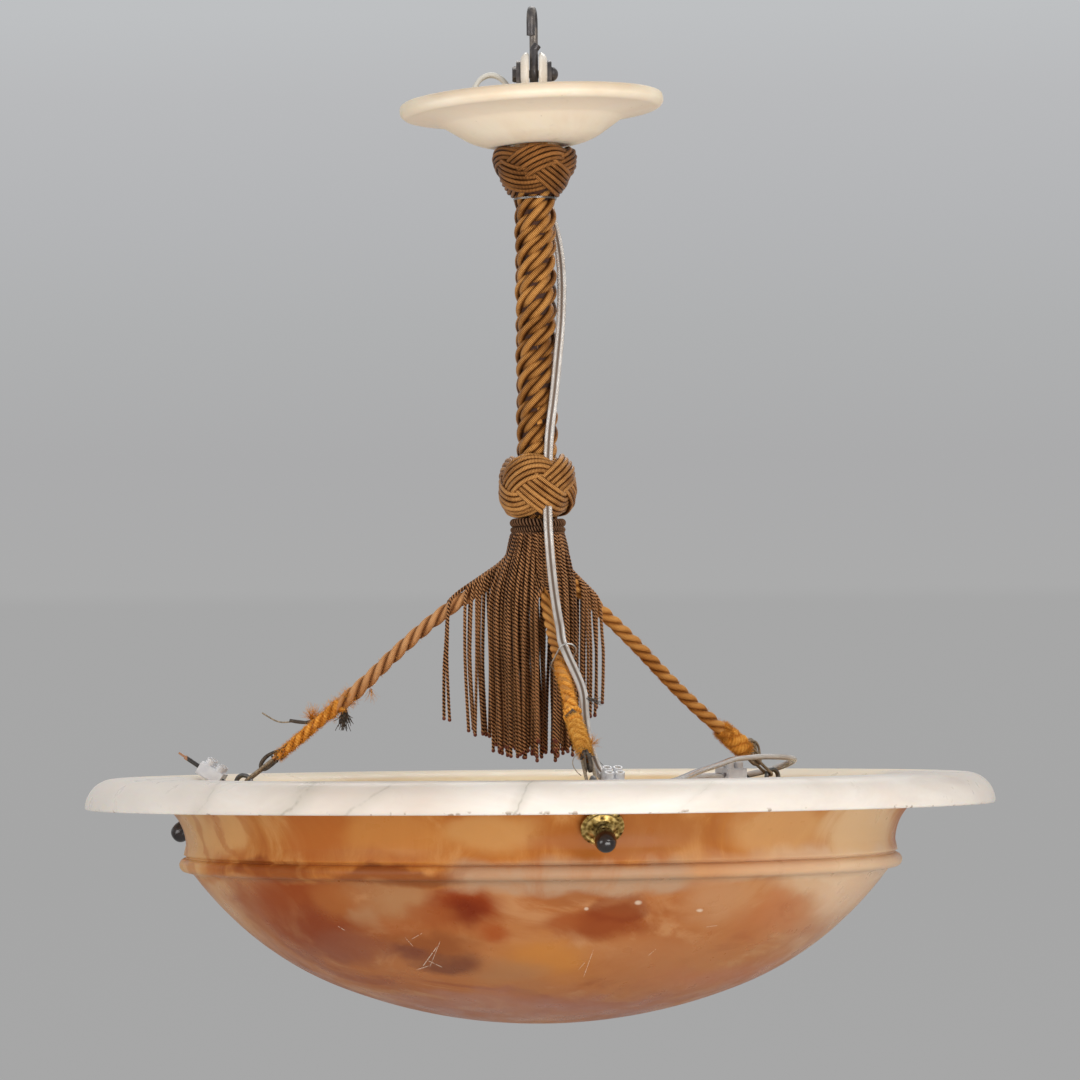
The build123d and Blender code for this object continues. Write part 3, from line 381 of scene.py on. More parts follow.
class Nodes:
    """A node tree, written as calls that return values."""

    def __init__(self, owner):
        owner.use_nodes = True
        self.tree = owner.node_tree
        self.tree.nodes.clear()

    def put(self, socket, value):
        if isinstance(value, Value):
            self.tree.links.new(value.socket, socket)
        elif socket.type == "RGBA" and len(value) == 3:
            socket.default_value = (*value, 1.0)
        else:
            socket.default_value = value

    def add(self, kind, inputs=(), out=0, **settings):
        """New node with its settings; inputs go to sockets by name, or by place in a tuple."""
        node = self.tree.nodes.new("ShaderNode" + kind)
        for name, value in settings.items():
            setattr(node, name, value)
        for key, value in inputs.items() if isinstance(inputs, dict) else enumerate(inputs):
            self.put(node.inputs[key], value)
        return Value(self, node.outputs[out])

    def coord(self, name="Object"):
        return self.add("TexCoord", out=name)

    def mapping(self, vector, scale, place=(0, 0, 0)):
        return self.add("Mapping", {"Vector": vector, "Scale": scale, "Location": place})

    def noise(self, vector, scale, detail=3.0, rough=0.55, distortion=0.0, out="Fac"):
        look = {"Scale": scale, "Detail": detail, "Roughness": rough, "Distortion": distortion}
        return self.add("TexNoise", {"Vector": vector, **look}, out)

    def warp(self, vector, scale, amount):
        """The same place moved about by noise, so that soft shapes get cloud-like edges."""
        push = self.noise(vector, scale, out="Color")
        shift = self.add("VectorMath", (push, (amount * 2,) * 3, (-amount,) * 3), operation="MULTIPLY_ADD")
        return self.add("VectorMath", (vector, shift), operation="ADD")

    def stored(self, name):
        """A value stored on the mesh: how proud a point stands, or the tone of its strand; yarns paint shade
        from both.
        """
        return self.add("Attribute", out="Fac", attribute_name=name)

    def cells(self, vector, scale):
        return self.add("TexVoronoi", {"Vector": vector, "Scale": scale}, "Distance")

    def math(self, kind, *values, clamp=False):
        return self.add("Math", values, operation=kind, use_clamp=clamp)

    def span(self, value, low, high, to_low=0.0, to_high=1.0):
        """Soft step of a value between two of its levels."""
        return self.add("MapRange", (value, low, high, to_low, to_high), interpolation_type="SMOOTHSTEP")

    def band(self, value, low, full_from, full_to, high):
        """Soft band: 1 between its two inner levels and 0 beyond the outer ones."""
        return self.span(value, low, full_from) * self.span(value, high, full_to)

    def mix(self, share, a, b):
        return self.add("Mix", {0: share, 6: a, 7: b}, 2, data_type="RGBA")

    def ramp(self, value, *stops):
        made = self.add("ValToRGB", (value,))
        elements = made.socket.node.color_ramp.elements
        while len(elements) < len(stops):
            elements.new(0.5)
        for element, (at, colour) in zip(elements, stops):
            element.position = at
            element.color = (*colour, 1.0)
        return made

    def parts(self, vector):
        return [Value(self, out) for out in self.add("SeparateXYZ", (vector,)).socket.node.outputs]

    def near(self, vector, centre, size, edge, amount, core=0.35):
        """Soft blob: 1 at a centre and 0 beyond its size, in millimetres, with noise on its edge."""
        shift = [-c / s for c, s in zip(centre, size)]
        moved = self.mapping(vector, [1 / (s * MM) for s in size], shift)
        reach = self.add("VectorMath", (moved,), "Value", operation="LENGTH")
        return self.span(reach + (edge - 0.5) * amount, 1.0, core)


class Shader(Nodes):
    """A material of one principled shader."""

    def __init__(self, name):
        self.material = bpy.data.materials.new(name)
        super().__init__(self.material)
        output = self.tree.nodes.new("ShaderNodeOutputMaterial")
        self.bsdf = self.tree.nodes.new("ShaderNodeBsdfPrincipled")
        self.tree.links.new(self.bsdf.outputs[0], output.inputs["Surface"])

    def set(self, **values):
        for name, value in values.items():
            self.put(self.bsdf.inputs[name.replace("_", " ")], value)

    def bump(self, height, distance, strength):
        values = {"Strength": strength, "Distance": distance * MM, "Height": height}
        self.set(Normal=self.add("Bump", values))


def rgb(*display):
    """A colour given as 0-255 display values, in the linear values that shaders take."""
    return tuple((v / 255 / 12.92) if v <= 10 else ((v / 255 + 0.055) / 1.055) ** 2.4 for v in display)


def yarn(name, *tones, lay=1500.0, rough=0.36, sheen=0.15, blotch=60.0, plies=0, groove_shade=0.0, tint=0.5,
         cross=0.1):
    """Spun yarn: fine cross fibres along a tube's own UV, painted shade in the grooves, painted light on
    top.
    """
    s = Shader(name)
    deep, middle, bright = (rgb(*tone) for tone in tones)
    u, v, _ = s.parts(s.coord("UV"))
    turns = u * lay + v
    lines = s.math("SINE", turns * TURN)
    fibre = s.noise(s.add("CombineXYZ", (turns * 0.3, v * 14.0, 0.0)), 3.0, 4.0, 0.7)
    shade = fibre * 0.5 + s.noise(s.coord(), blotch) * 0.5 + lines * cross
    # painted shade in the waist between two plies, painted light on their lobes
    if plies:
        shade = shade + (abs(s.math("COSINE", v * (plies * math.pi))) - 0.64) * 1.1
    # painted shade where a cord sinks between its neighbours, painted light where it stands proud
    if groove_shade:
        shade = shade + (s.span(s.stored("rise"), 0.0, 0.95) - 0.72) * groove_shade
    # stored tone: differs from strand to strand, and also carries painted shade on the rope's plies and the
    # tassel's roots
    shade = shade + (s.stored("tone") - 0.5)
    s.set(Base_Color=s.ramp(shade, (0.2, deep), (0.5, middle), (0.76, bright)), Roughness=rough)
    s.set(Sheen_Weight=sheen, Sheen_Roughness=0.45, Sheen_Tint=bright)
    s.set(Specular_IOR_Level=tint, Specular_Tint=bright)
    s.bump(lines * 0.3 + fibre, 0.1, 0.7)
    return s.material


# the groove setting is how much painted shade falls in each yarn's grooves
BRAID = {"groove_shade": 0.46, "tint": 0.7}
WORN_AND_SHADED = {"rough": 0.65, "groove_shade": 0.3}
FLUFF = {"lay": 800.0, "rough": 0.85, "sheen": 0.5, "blotch": 320.0, "groove_shade": 0.2}
rope_yarn = yarn("rope_yarn", (34, 14, 5), (112, 66, 28), (198, 142, 78), groove_shade=0.42, tint=0.7, cross=0.16)
knot_yarn = yarn("knot_yarn", (22, 9, 4), (58, 30, 13), (158, 106, 58), cross=0.16, **BRAID)
lower_yarn = yarn("lower_yarn", (38, 16, 6), (100, 57, 25), (198, 144, 84), cross=0.14, **BRAID)
cord_yarn = yarn("cord_yarn", (92, 50, 24), (190, 134, 86), (222, 174, 124), sheen=0.3, **WORN_AND_SHADED)
gold_yarn = yarn("gold_yarn", (96, 46, 12), (188, 124, 60), (224, 168, 98), sheen=0.4, **WORN_AND_SHADED)
fuzz_yarn = yarn("fuzz_yarn", (150, 80, 20), (226, 148, 56), (248, 190, 98), **FLUFF)
yellow_yarn = yarn("yellow_yarn", (158, 88, 18), (224, 152, 58), (248, 202, 110), **FLUFF)
tassel_yarn = yarn("tassel_yarn", (14, 6, 3), (78, 46, 29), (176, 126, 84), plies=2, cross=0.0)
collar_yarn = yarn("collar_yarn", (18, 10, 6), (58, 37, 25), (112, 82, 60), rough=0.5, plies=2, cross=0.0)


def plain(name, colour, other, rough, scale=90.0, bump=0.05, **more):
    """Two tones of one colour in soft spots, over a fine grain."""
    s = Shader(name)
    place = s.coord()
    spot = s.span(s.noise(place, scale, 4.0, 0.6), 0.35, 0.7)
    s.set(Base_Color=s.mix(spot, rgb(*colour), rgb(*other)), **more)
    s.set(Roughness=s.span(s.noise(place, scale * 4, 2.0), 0.3, 0.7, rough - 0.05, rough + 0.08))
    s.bump(s.noise(place, scale * 6), bump, 0.6)
    return s.material


def metal(name, colour, worn, rough, metallic=1.0, grain=220.0, bump=0.08):
    """Metal with patches of wear and a fine uneven surface."""
    s = Shader(name)
    place = s.coord()
    patch = s.noise(place, grain * 0.3, 5.0, 0.65)
    fine = s.noise(place, grain * 2.5)
    wear = s.span(patch, 0.45, 0.7, 0.0, 0.6)
    s.set(Base_Color=s.mix(wear, rgb(*colour), rgb(*worn)), Metallic=metallic)
    s.set(Roughness=s.span(fine, 0.3, 0.7, rough - 0.08, rough + 0.12))
    s.bump(patch * 0.6 + fine * 0.4, bump, 0.7)
    return s.material


def lead_plastic(name, rough, *display):
    """Covering of a single lead, dull in spots."""
    s = Shader(name)
    colour = rgb(*display)
    spot = s.noise(s.coord(), 120.0)
    s.set(Base_Color=s.mix(spot * 0.35, colour, tuple(c * 0.72 for c in colour)))
    s.set(Roughness=s.span(spot, 0.2, 0.8, rough - 0.05, rough + 0.15))
    s.bump(s.noise(s.coord(), 900.0, 2.0), 0.04, 0.5)
    return s.material


def flex_material():
    """Clear plastic: a faint warm tint over what lies inside, with painted shade along the groove of its
    waist.
    """
    s = Shader("clear_sheath")
    _, v, _ = s.parts(s.coord("UV"))
    # painted shade along the groove between the two lobes, where the sheath is also made less clear
    waist_shade = s.span(abs(s.math("SINE", v * TURN)), 0.8, 0.97)
    dust = s.span(s.noise(s.coord(), 140.0), 0.35, 0.7)
    clear = s.mix(dust, (0.94, 0.91, 0.87), (0.80, 0.74, 0.68))
    s.set(Base_Color=s.mix(waist_shade, clear, (0.16, 0.11, 0.08)), Roughness=0.14, IOR=1.4)
    s.set(Transmission_Weight=0.55 - waist_shade * 0.4)
    s.bump(s.noise(s.coord(), 260.0, 2.0), 0.05, 0.4)
    return s.material


def core_material():
    """Bright stranded cores, seen through the clear sheath."""
    s = Shader("bright_core")
    u, v, _ = s.parts(s.coord("UV"))
    lines = s.math("SINE", u * 1884.0 + v * 31.4)
    shade = lines * 0.3 + s.noise(s.coord(), 90.0)
    s.set(Base_Color=s.ramp(shade, (0.2, rgb(196, 180, 168)), (0.8, rgb(250, 244, 238))))
    s.set(Metallic=0.3, Roughness=0.3)
    s.bump(lines, 0.08, 0.7)
    return s.material


def rosette_material():
    """Aged olive-gold sheet, dark in its hollows, rubbed bright on its lobes."""
    s = Shader("rosette_brass")
    place = s.coord()
    grime = s.noise(place, 420.0, 4.0, 0.65)
    relief = grime * 0.6 + s.cells(place, 460.0) * 0.5
    colour = s.ramp(relief, (0.3, rgb(58, 42, 18)), (0.5, rgb(150, 120, 58)), (0.74, rgb(226, 196, 124)))
    s.set(Base_Color=colour, Metallic=0.85, Roughness=s.span(grime, 0.3, 0.7, 0.3, 0.5))
    s.bump(relief, 0.35, 0.9)
    return s.material


def glass_material():
    """Frosted bulb."""
    s = Shader("bulb_glass")
    haze = s.noise(s.coord(), 40.0)
    s.set(Base_Color=(0.97, 0.96, 0.93), Transmission_Weight=0.55, IOR=1.45)
    s.set(Roughness=s.span(haze, 0.3, 0.7, 0.3, 0.42))
    s.bump(s.noise(s.coord(), 500.0, 2.0), 0.02, 0.4)
    return s.material


def block_material():
    """Milky moulded plastic, slightly see-through."""
    s = Shader("block_plastic")
    place = s.coord()
    haze = s.noise(place, 260.0)
    s.set(Base_Color=s.mix(s.span(haze, 0.3, 0.7), rgb(226, 226, 230), rgb(240, 240, 242)))
    s.set(Transmission_Weight=0.25, IOR=1.5, Roughness=s.span(haze, 0.3, 0.7, 0.28, 0.42))
    s.set(Subsurface_Weight=0.25, Subsurface_Radius=(0.003, 0.003, 0.003))
    s.bump(s.noise(place, 600.0), 0.08, 0.5)
    return s.material


def spare_wire_material():
    """Black covering with a bare brown end."""
    s = Shader("spare_wire_cover")
    x, _, _ = s.parts(s.coord())
    wire = nodes["spare_wire"]
    tip = min((wire.matrix_world @ Vector(corner)).x for corner in wire.bound_box)
    bare = s.span(x, tip + 5.0 * MM, tip + 4.2 * MM)
    grain = s.noise(s.coord(), 400.0)
    s.set(Base_Color=s.mix(bare, s.mix(grain, rgb(28, 25, 24), rgb(54, 48, 44)), rgb(168, 118, 82)))
    s.set(Roughness=s.span(grain, 0.3, 0.7, 0.35, 0.5))
    s.bump(grain, 0.06, 0.5)
    return s.material


sheath, core, rosette_brass = flex_material(), core_material(), rosette_material()
glass, block, spare_wire = glass_material(), block_material(), spare_wire_material()
white_plastic = lead_plastic("white_lead", 0.35, 226, 222, 212)
black_plastic = lead_plastic("black_lead", 0.4, 34, 32, 31)
# painted shade: the dark cores stand for the shade in the gaps of the rope, knots and collar
gap_shade_core = plain("gap_shade_core", (44, 20, 7), (74, 38, 14), 0.8, 300.0, 0.3)
tip_yarn = plain("tip_yarn", (92, 40, 22), (128, 62, 34), 0.6, 900.0, 0.2)
dark_fibre = plain("dark_fibre", (56, 46, 38), (98, 84, 68), 0.7, 500.0, 0.2)
brown_wire = plain("brown_wire", (122, 104, 82), (164, 146, 120), 0.5, 700.0, 0.1)
glaze = plain("disc_glaze", (250, 242, 230), (236, 222, 202), 0.22, 60.0, 0.04)
knob_paint = plain("knob_lacquer", (22, 13, 10), (52, 30, 20), 0.2, 70.0, Coat_Weight=0.5,
                   Coat_Roughness=0.12)
bakelite = plain("bakelite", (34, 24, 20), (48, 34, 27), 0.3, 80.0, 0.04)
bright_wire = metal("bright_wire", (190, 188, 184), (120, 116, 110), 0.3)
iron = metal("iron", (84, 80, 80), (160, 148, 136), 0.4, 0.6, 260.0, 0.25)
steel = metal("steel", (120, 118, 116), (80, 72, 64), 0.4)
brass = metal("brass", (196, 158, 84), (120, 92, 48), 0.35)

# ---- cords and flexes ----
# a cord is laid in strands beyond this distance along it, where it leaves the tassel
CORD_STEP, CORD_FREE = 0.0012, 0.2035
CORD_LAY, CORD_STRAND, CORD_RADIUS = 1.72 * MM, 1.84 * MM, 3.45 * MM
FLEX_HALF, CORE_OFF, CORE_RADIUS = 2.25 * MM, 1.15 * MM, 0.85 * MM
FLEX_STEP, LEAD_STEP = 0.002, 0.0007
SUPPLY_RADIUS, LEAD_RADIUS = 1.2, 1.1
CORD_PITCH = {"left": -0.028, "right": -0.024, "front": -0.022}
# shares of a cord's length, and its thickness at each
CORD_THICKNESS = {
    "left": ((0.0, 0.82, 0.86, 0.88, 0.905, 1.0), (1.0, 1.0, 1.12, 0.98, 0.56, 0.5)),
    "right": ((0.0, 0.92, 0.97, 1.0), (1.0, 1.0, 0.9, 0.5)),
    "front": ((0.0, 0.56, 0.68, 0.8, 0.95, 1.0), (0.85, 0.8, 0.76, 0.9, 0.8, 0.5)),
}


def lay_cord(side):
    """Three laid strands along the cord's own line, and a plain core where the rope hides it."""
    name = f"cord_{side}"
    line, along = resample(read_line(name, cord_points(side)), CORD_STEP)
    free = along > CORD_FREE
    thick = np.interp(along[free] / along[-1], *CORD_THICKNESS[side])
    drop = along[free] - along[free][0]
    batch = Batch()
    for strand, out in twisted(line[free], drop, 3, CORD_LAY * thick, CORD_PITCH[side], 0.6):
        batch.tube(strand, CORD_STRAND * thick, sides=14, outward=out)
    batch.tube(line[along <= CORD_FREE + CORD_STEP], CORD_RADIUS, sides=12)
    yarn_here = cord_yarn if side == "left" else gold_yarn
    piece = batch.build(name, yarn_here, [f"suspension_cord_{side}"], "cord")


def bowed(name, points, nudges, step):
    """A route's line with its nudges, and the distance along it."""
    line = read_line(name, points)
    for centre, reach, shift in nudges:
        line = nudge(line, centre, reach, shift)
    return resample(line, step)


def lay_flex(name, points, pieces):
    """Twin flex: a clear sheath of two lobes over two bright cores."""
    line, along = bowed(name, points, FLEX_NUDGES[name], FLEX_STEP)
    batch, inner = Batch(), Batch()
    batch.tube(line, FLEX_HALF, section=TWIN_FLEX)
    piece = batch.build(name, sheath, [name], "clear_flex")
    side, _, _ = frames(line)
    for hand in (-1, 1):
        inner.tube(line + hand * CORE_OFF * side, CORE_RADIUS)
    cores = inner.build(name + "_cores", core, slot="clear_flex")
    [cores] + pieces


def lay_lead(name, points, radius, material, body, slot, nudges=()):
    """A single round lead along its route."""
    line, along = bowed(name, points, nudges, LEAD_STEP)
    batch = Batch()
    batch.tube(line, radius * MM, sides=14)
    return batch.build(name, material, [name], slot, body), line, float(along[-1])


for side in AZIMUTH:
    lay_cord(side)
lay_flex("main_flex", FLEX_POINTS, [nodes["terminal_block_front"], nodes["terminal_screws"]])
lay_flex("link_flex", LINK_POINTS, [nodes["terminal_block_right"]])
supply_points = SUPPLY_POINTS + coil_points() + SUPPLY_TAIL
supply, supply_line, supply_length = lay_lead(
    "supply_lead", supply_points, SUPPLY_RADIUS, white_plastic, "canopy", "white_lead", SUPPLY_NUDGES)
for side, points in LEAD_POINTS.items():
    route = [place(side, *p) for p in points]
    lay_lead(f"lamp_lead_{side}", route, LEAD_RADIUS, black_plastic, "pendant", "black_lead")

# ---- rope, knots, collar ----
ROPE_TOP, ROPE_LOW, ROPE_LEAD, ROPE_STRANDS = -84.0, -226.0, 31.0, 4
ROPE_REACH, FOOT_TOP, FOOT_LOW, FOOT_REACH = 6.85, -246.0, -254.6, 6.3
ROPE_CORE, COLLAR_CORE = 7.9, 11.2
PLY_LEAD, PLY_REACH, PLY_RADIUS = 0.032, 1.76, 2.0
BINDING_RADIUS, BINDING_HEIGHT, BINDING_WIRE = 10.7, -92.35, 0.2


def lay_strands(batch, top, low, reach, start=0.0):
    """Laid strands rising to the right round the rope, each of three plies twisted the other way."""
    height = np.arange(top, low, -0.4)
    turn = TURN * height / ROPE_LEAD + 0.12 * np.sin(height * 0.11) + 0.08 * np.sin(height * 0.29 + 1)
    for index in range(ROPE_STRANDS):
        angle = turn + TURN * (index + start) / ROPE_STRANDS
        line, along = resample(around(reach, angle, height) * MM, 0.0008)
        out = unit(line * (1, 1, 0))
        rise = np.cross(unit(np.gradient(line, axis=0)), out)
        for ply in range(3):
            roll = TURN * (ply / 3 - along / PLY_LEAD) + 1.9 * index
            way = across(roll, out, rise)
            # painted shade on the plies that turn in towards the rope, and a little tone that differs from
            # ply to ply
            tone = 0.42 + 0.3 * np.clip(np.cos(roll), -1.0, 0.2) + 0.05 * math.sin(2.7 * ply + 1.9 * index)
            batch.tube(line + PLY_REACH * MM * way, PLY_RADIUS * MM, sides=12, outward=unit(out + 0.9 * way),
                       tone=tone)


def lay_column(name, heights, radius, sides, slot):
    """Core on the axis, painted dark to stand for the shade in the gaps round it."""
    batch = Batch()
    batch.tube(np.array([(0, 0, z) for z in heights]) * MM, np.array(radius) * MM, sides=sides)
    return batch.build(name, gap_shade_core, slot=slot)


def lay_rope():
    """The rope's strands round a core painted dark for the shade between them, and their short foot under
    the lower knot.
    """
    batch, foot = Batch(), Batch()
    lay_strands(batch, ROPE_TOP, ROPE_LOW, ROPE_REACH)
    piece = batch.build("rope_strands", rope_yarn, ["rope_sheath"], "rope")
    inner = lay_column("rope_core", np.arange(-68.0, -254.2, -3.0), ROPE_CORE, 28, "rope")
    lay_strands(foot, FOOT_TOP, FOOT_LOW, FOOT_REACH, 0.4)
    foot.build("knot_foot", knot_yarn, slot="knot_cord")


def profile_point(profile, s):
    """Radius, height and outward normal at a distance s from the middle of a knot's outline."""
    profile = np.array(profile, float)
    runs = lengths(profile)

    def read(distance):
        at = np.clip(distance, 0, runs[-1])
        return np.interp(at, runs, profile[:, 0]), np.interp(at, runs, profile[:, 1])

    at, step = np.clip(s + runs[-1] / 2, 0, runs[-1]), 0.8
    (r, z), (r1, z1), (r0, z0) = read(at), read(at + step), read(at - step)
    length = np.hypot(r1 - r0, z1 - z0)
    return r, z, (z0 - z1) / length, (r1 - r0) / length


KNOT_BIGHTS, KNOT_CORDS = 4, 6
# radius and height down each knot, and the radius down its core
UPPER_OUTLINE = [
    (12.5, -66.9), (17.1, -67.3), (18.9, -68.9), (19.6, -71.5), (19.4, -75.5), (18.2, -80), (16.2, -85),
    (13.6, -89.5), (11.2, -92.5),
]
LOWER_OUTLINE = [
    (9.6, -220.2), (13.2, -220.9), (15.9, -223.6), (17.7, -228), (18.4, -233.5), (18.3, -239),
    (17.0, -244.5), (14.6, -248.8), (11.8, -251), (9.6, -251.5),
]
UPPER_CORE = (12, 14.5, 15.2, 15, 14.2, 13.2, 12, 11, 9.5)
LOWER_CORE = (9.5, 12, 12.2, 12.2, 12.2, 12.2, 12.2, 11.5, 9.5)


def braided_knot(node, profile, gap, swing, depth, size, phase, hand, material):
    """Turban knot: one band of parallel cords, three leads, over and under by turns."""
    batch = Batch()
    t = np.linspace(0, 3 * TURN, 900, endpoint=False)
    theta = KNOT_BIGHTS * t / 3
    s = hand * swing * (np.sin(theta) + 0.07 * np.sin(5 * t / 3 + 1.0)) + 0.7 * np.sin(2 * t / 3 + phase)
    lift = depth * np.sin(2 * theta)
    radius = profile_point(profile, s)[0]
    du, ds = radius * np.gradient(t), np.gradient(s)
    norm = np.hypot(du, ds)
    for index in range(KNOT_CORDS):
        off = (index - (KNOT_CORDS - 1) / 2) * gap
        share = 2 * off / ((KNOT_CORDS - 1) * gap)
        angle = t - off * ds / norm / radius + phase
        r, z, nr, nz = profile_point(profile, s + off * du / norm)
        h = lift + 0.45 * (1 - share * share) - size + 0.15 * np.sin(7 * t / 3 + 2.1 * index)
        points = around(r + nr * h, angle, z + nz * h) * MM
        batch.tube(points, size * MM, sides=12, closed=True, outward=around(nr, angle, nz),
                   tone=0.5 + 0.05 * math.sin(2.4 * index + 1))
    batch.build(node + "_cords", material, [node], "knot_cord")


# height, radius, half width and number of twists
COLLAR_RINGS = ((-254.1, 11.9, 2.1, 22), (-257.4, 12.25, 1.5, 30), (-259.5, 12.6, 0.85, 46))


def lay_collar():
    """Thick twisted ring over two thinner ones."""
    turn = np.linspace(0, TURN, 1200, endpoint=False)
    batch = Batch()
    for height, radius, size, turns in COLLAR_RINGS:
        ring = around(radius, turn, height + 0.25 * np.sin(2 * turn + height)) * MM
        batch.tube(ring, size * MM, closed=True, section=TWO_PLY, twist=turns * turn)
    batch.build("collar_rings", collar_yarn, ["tassel_collar"], "collar_cord")
    lay_column("collar_core", (-252.2, -254, -256, -258, -260.2), COLLAR_CORE, 40, "collar_cord")


def lay_binding():
    """Thin bright wire twice round the rope's neck, a little askew."""
    turn = np.linspace(0, TURN, 120, endpoint=False)
    batch = Batch()
    for lift in (0.0, -0.55):
        r = BINDING_RADIUS + 0.15 * np.sin(6 * turn + lift * 9)
        ring = around(r, turn, BINDING_HEIGHT + lift + 0.3 * np.sin(turn + 0.6)) * MM
        batch.tube(ring, BINDING_WIRE * MM, sides=6, closed=True)
    batch.build("binding_wire", bright_wire, ["sheath_binding"], "tie_wire")


# ---- tassel ----
# root and reach of each row of strands, their number, and the shift of the first in steps
TASSEL_ROWS = ((13.2, 16.0, 38, 0.0), (12.4, 13.8, 32, 0.5), (12.9, 18.4, 36, 0.25))
# strands that lie over a cord: where each drops off it, and how far from the cord's middle it lies
TASSEL_LANES = {
    "left": ((17, 3.0), (19, 2.4), (21, 1.8), (23, 2.9), (25, 1.2), (27, 2.2), (29, 0.7), (31.5, 1.6),
             (35.0, 2.6), (36.5, 0.5), (44.0, 1.6), (48.5, 0.8)),
    "right": ((16.5, 2.8), (18.5, 2.2), (24.0, 1.6), (26.0, 2.7), (28.0, 1.1), (30.5, 2.0), (32.5, 0.6),
              (35.5, 1.6)),
    "front": ((15.5, 2.8), (17.5, 2.2), (19.5, 1.5), (22, 0.8)),
}
# heights at which the first and the last of them end
TASSEL_FOOT = {"left": (-364.0, -349.5), "right": (-360.0, -343.0), "front": (-366.0, -362.0)}
STRAND_RADIUS, STRAND_LEAD, STRAND_STEP = 0.9, 0.0037, 0.0004


def outward_of(side, line):
    """How far out a line's points are on one side, in millimetres."""
    a = math.radians(AZIMUTH[side])
    return (line[:, 0] * math.sin(a) - line[:, 1] * math.cos(a)) / MM


def cord_heights(side):
    """Radii along a cord's centre line, in rising order, and its height at each."""
    line = read_line("probe_" + side, cord_points(side))
    radius = outward_of(side, line)
    order = np.argsort(radius)
    return radius[order], line[order, 2] / MM


def hang(batch, tips, points, rng):
    """A two-ply strand along a path, with painted shade near its root and a small knob at its end."""
    line, along = resample(read_line("strand", metres(points)), STRAND_STEP)
    twist = -TURN * along / STRAND_LEAD + rng.uniform(0, 6.28)
    # each strand's own tone differs at random; painted shade darkens it just under the collar, fading out
    # about 30 mm down
    tone = 0.5 + rng.uniform(-0.16, 0.14) - 0.14 * np.clip((line[:, 2] + 0.290) / 0.025, 0.0, 1.0)
    batch.tube(line, STRAND_RADIUS * rng.uniform(0.92, 1.08) * MM, section=TWO_PLY, twist=twist, tone=tone)
    knob = line[-1] + np.array([(0, 0, k) for k in (0.9, 0.5, 0.0, -0.6, -1.0)]) * MM
    tips.tube(knob, np.array([0.5, 0.85, 0.95, 0.8, 0.35]) * MM, sides=8)


def lay_tassel():
    """Rows of strands all round, and strands that lie over each cord and drop off it."""
    rng = random.Random(41)
    batch, tips = Batch(), Batch()
    for root, reach, count, shift in TASSEL_ROWS:
        for index in range(count):
            azimuth = 360 * (index + shift) / count + rng.uniform(-2.5, 2.5)
            if min(abs((azimuth - side + 180) % 360 - 180) for side in AZIMUTH.values()) < 16:
                continue
            a = math.radians(azimuth)
            left, back, front = (max(0.0, v) for v in (-math.sin(a), math.sin(a), math.cos(a)))
            out = reach - 1.2 * back + 5.5 * left ** 1.5 + 1.5 * front + rng.uniform(-1.0, 1.0)
            low = -368.0 + 4.0 * left - 2.5 * front + rng.uniform(-3.5, 3.0) + 2.5 * back
            lean, bow = rng.uniform(-2.0, 2.0), rng.uniform(-1.8, 1.8)
            route = [(root - 0.6, 0, -259.2), (root + 0.3, 0, -262.5), (root + 1.6, 0, -268)]
            route += [((root + out) / 2 + 1.0, 0, -277), (out, 0, -290), (out + 0.2, bow, -312)]
            route += [(out - 0.3, lean * 0.5, -335), (out - 0.8, lean * 0.9, -354), (out - 1.1, lean, low)]
            hang(batch, tips, [turned(a, *point) for point in route], rng)
    for side, drops in TASSEL_LANES.items():
        heights = cord_heights(side)
        first, last = drops[0][0], drops[-1][0]
        for number, (leave, lane) in enumerate(drops):
            foot = float(np.interp(leave, (first, last), TASSEL_FOOT[side]))
            low = foot + rng.uniform(-2.5, 2.5)
            for hand in ((-1, 1) if leave < 33 else ((-1,) if number % 2 else (1,))):
                drop = leave + (0.8 if hand > 0 else 0)
                lean, bow = rng.uniform(-1.6, 1.6), rng.uniform(-2.2, 2.2)
                over = 1.2 * math.sqrt(19.0 - lane * lane)
                route = [(12.6, hand * lane, -259.4), (13.6, hand * lane, -262.5)]
                route += [(r, hand * lane, float(np.interp(r, *heights)) + over)
                          for r in (15.5, 0.5 * (15.5 + drop), drop - 1.2)]
                fall = float(np.interp(drop, *heights))
                off = hand * 4.9
                route += [(drop + 0.5, hand * 4.2, fall + 1.6), (drop + 1.0, off, fall - 4)]
                route += [(drop + 1.1 + 0.3 * bow, off, fall - 16)]
                route += [(drop + 0.9 + bow, off + lean * 0.5, 0.45 * fall + 0.55 * low)]
                route += [(drop + 0.5 + 0.5 * bow + 0.8 * lean, off + lean, low)]
                hang(batch, tips, [turned(math.radians(AZIMUTH[side]), *point) for point in route], rng)
    batch.build("tassel_strands", tassel_yarn, ["tassel_skirt"], "tassel")
    tips.build("tassel_tips", tip_yarn, slot="tassel")


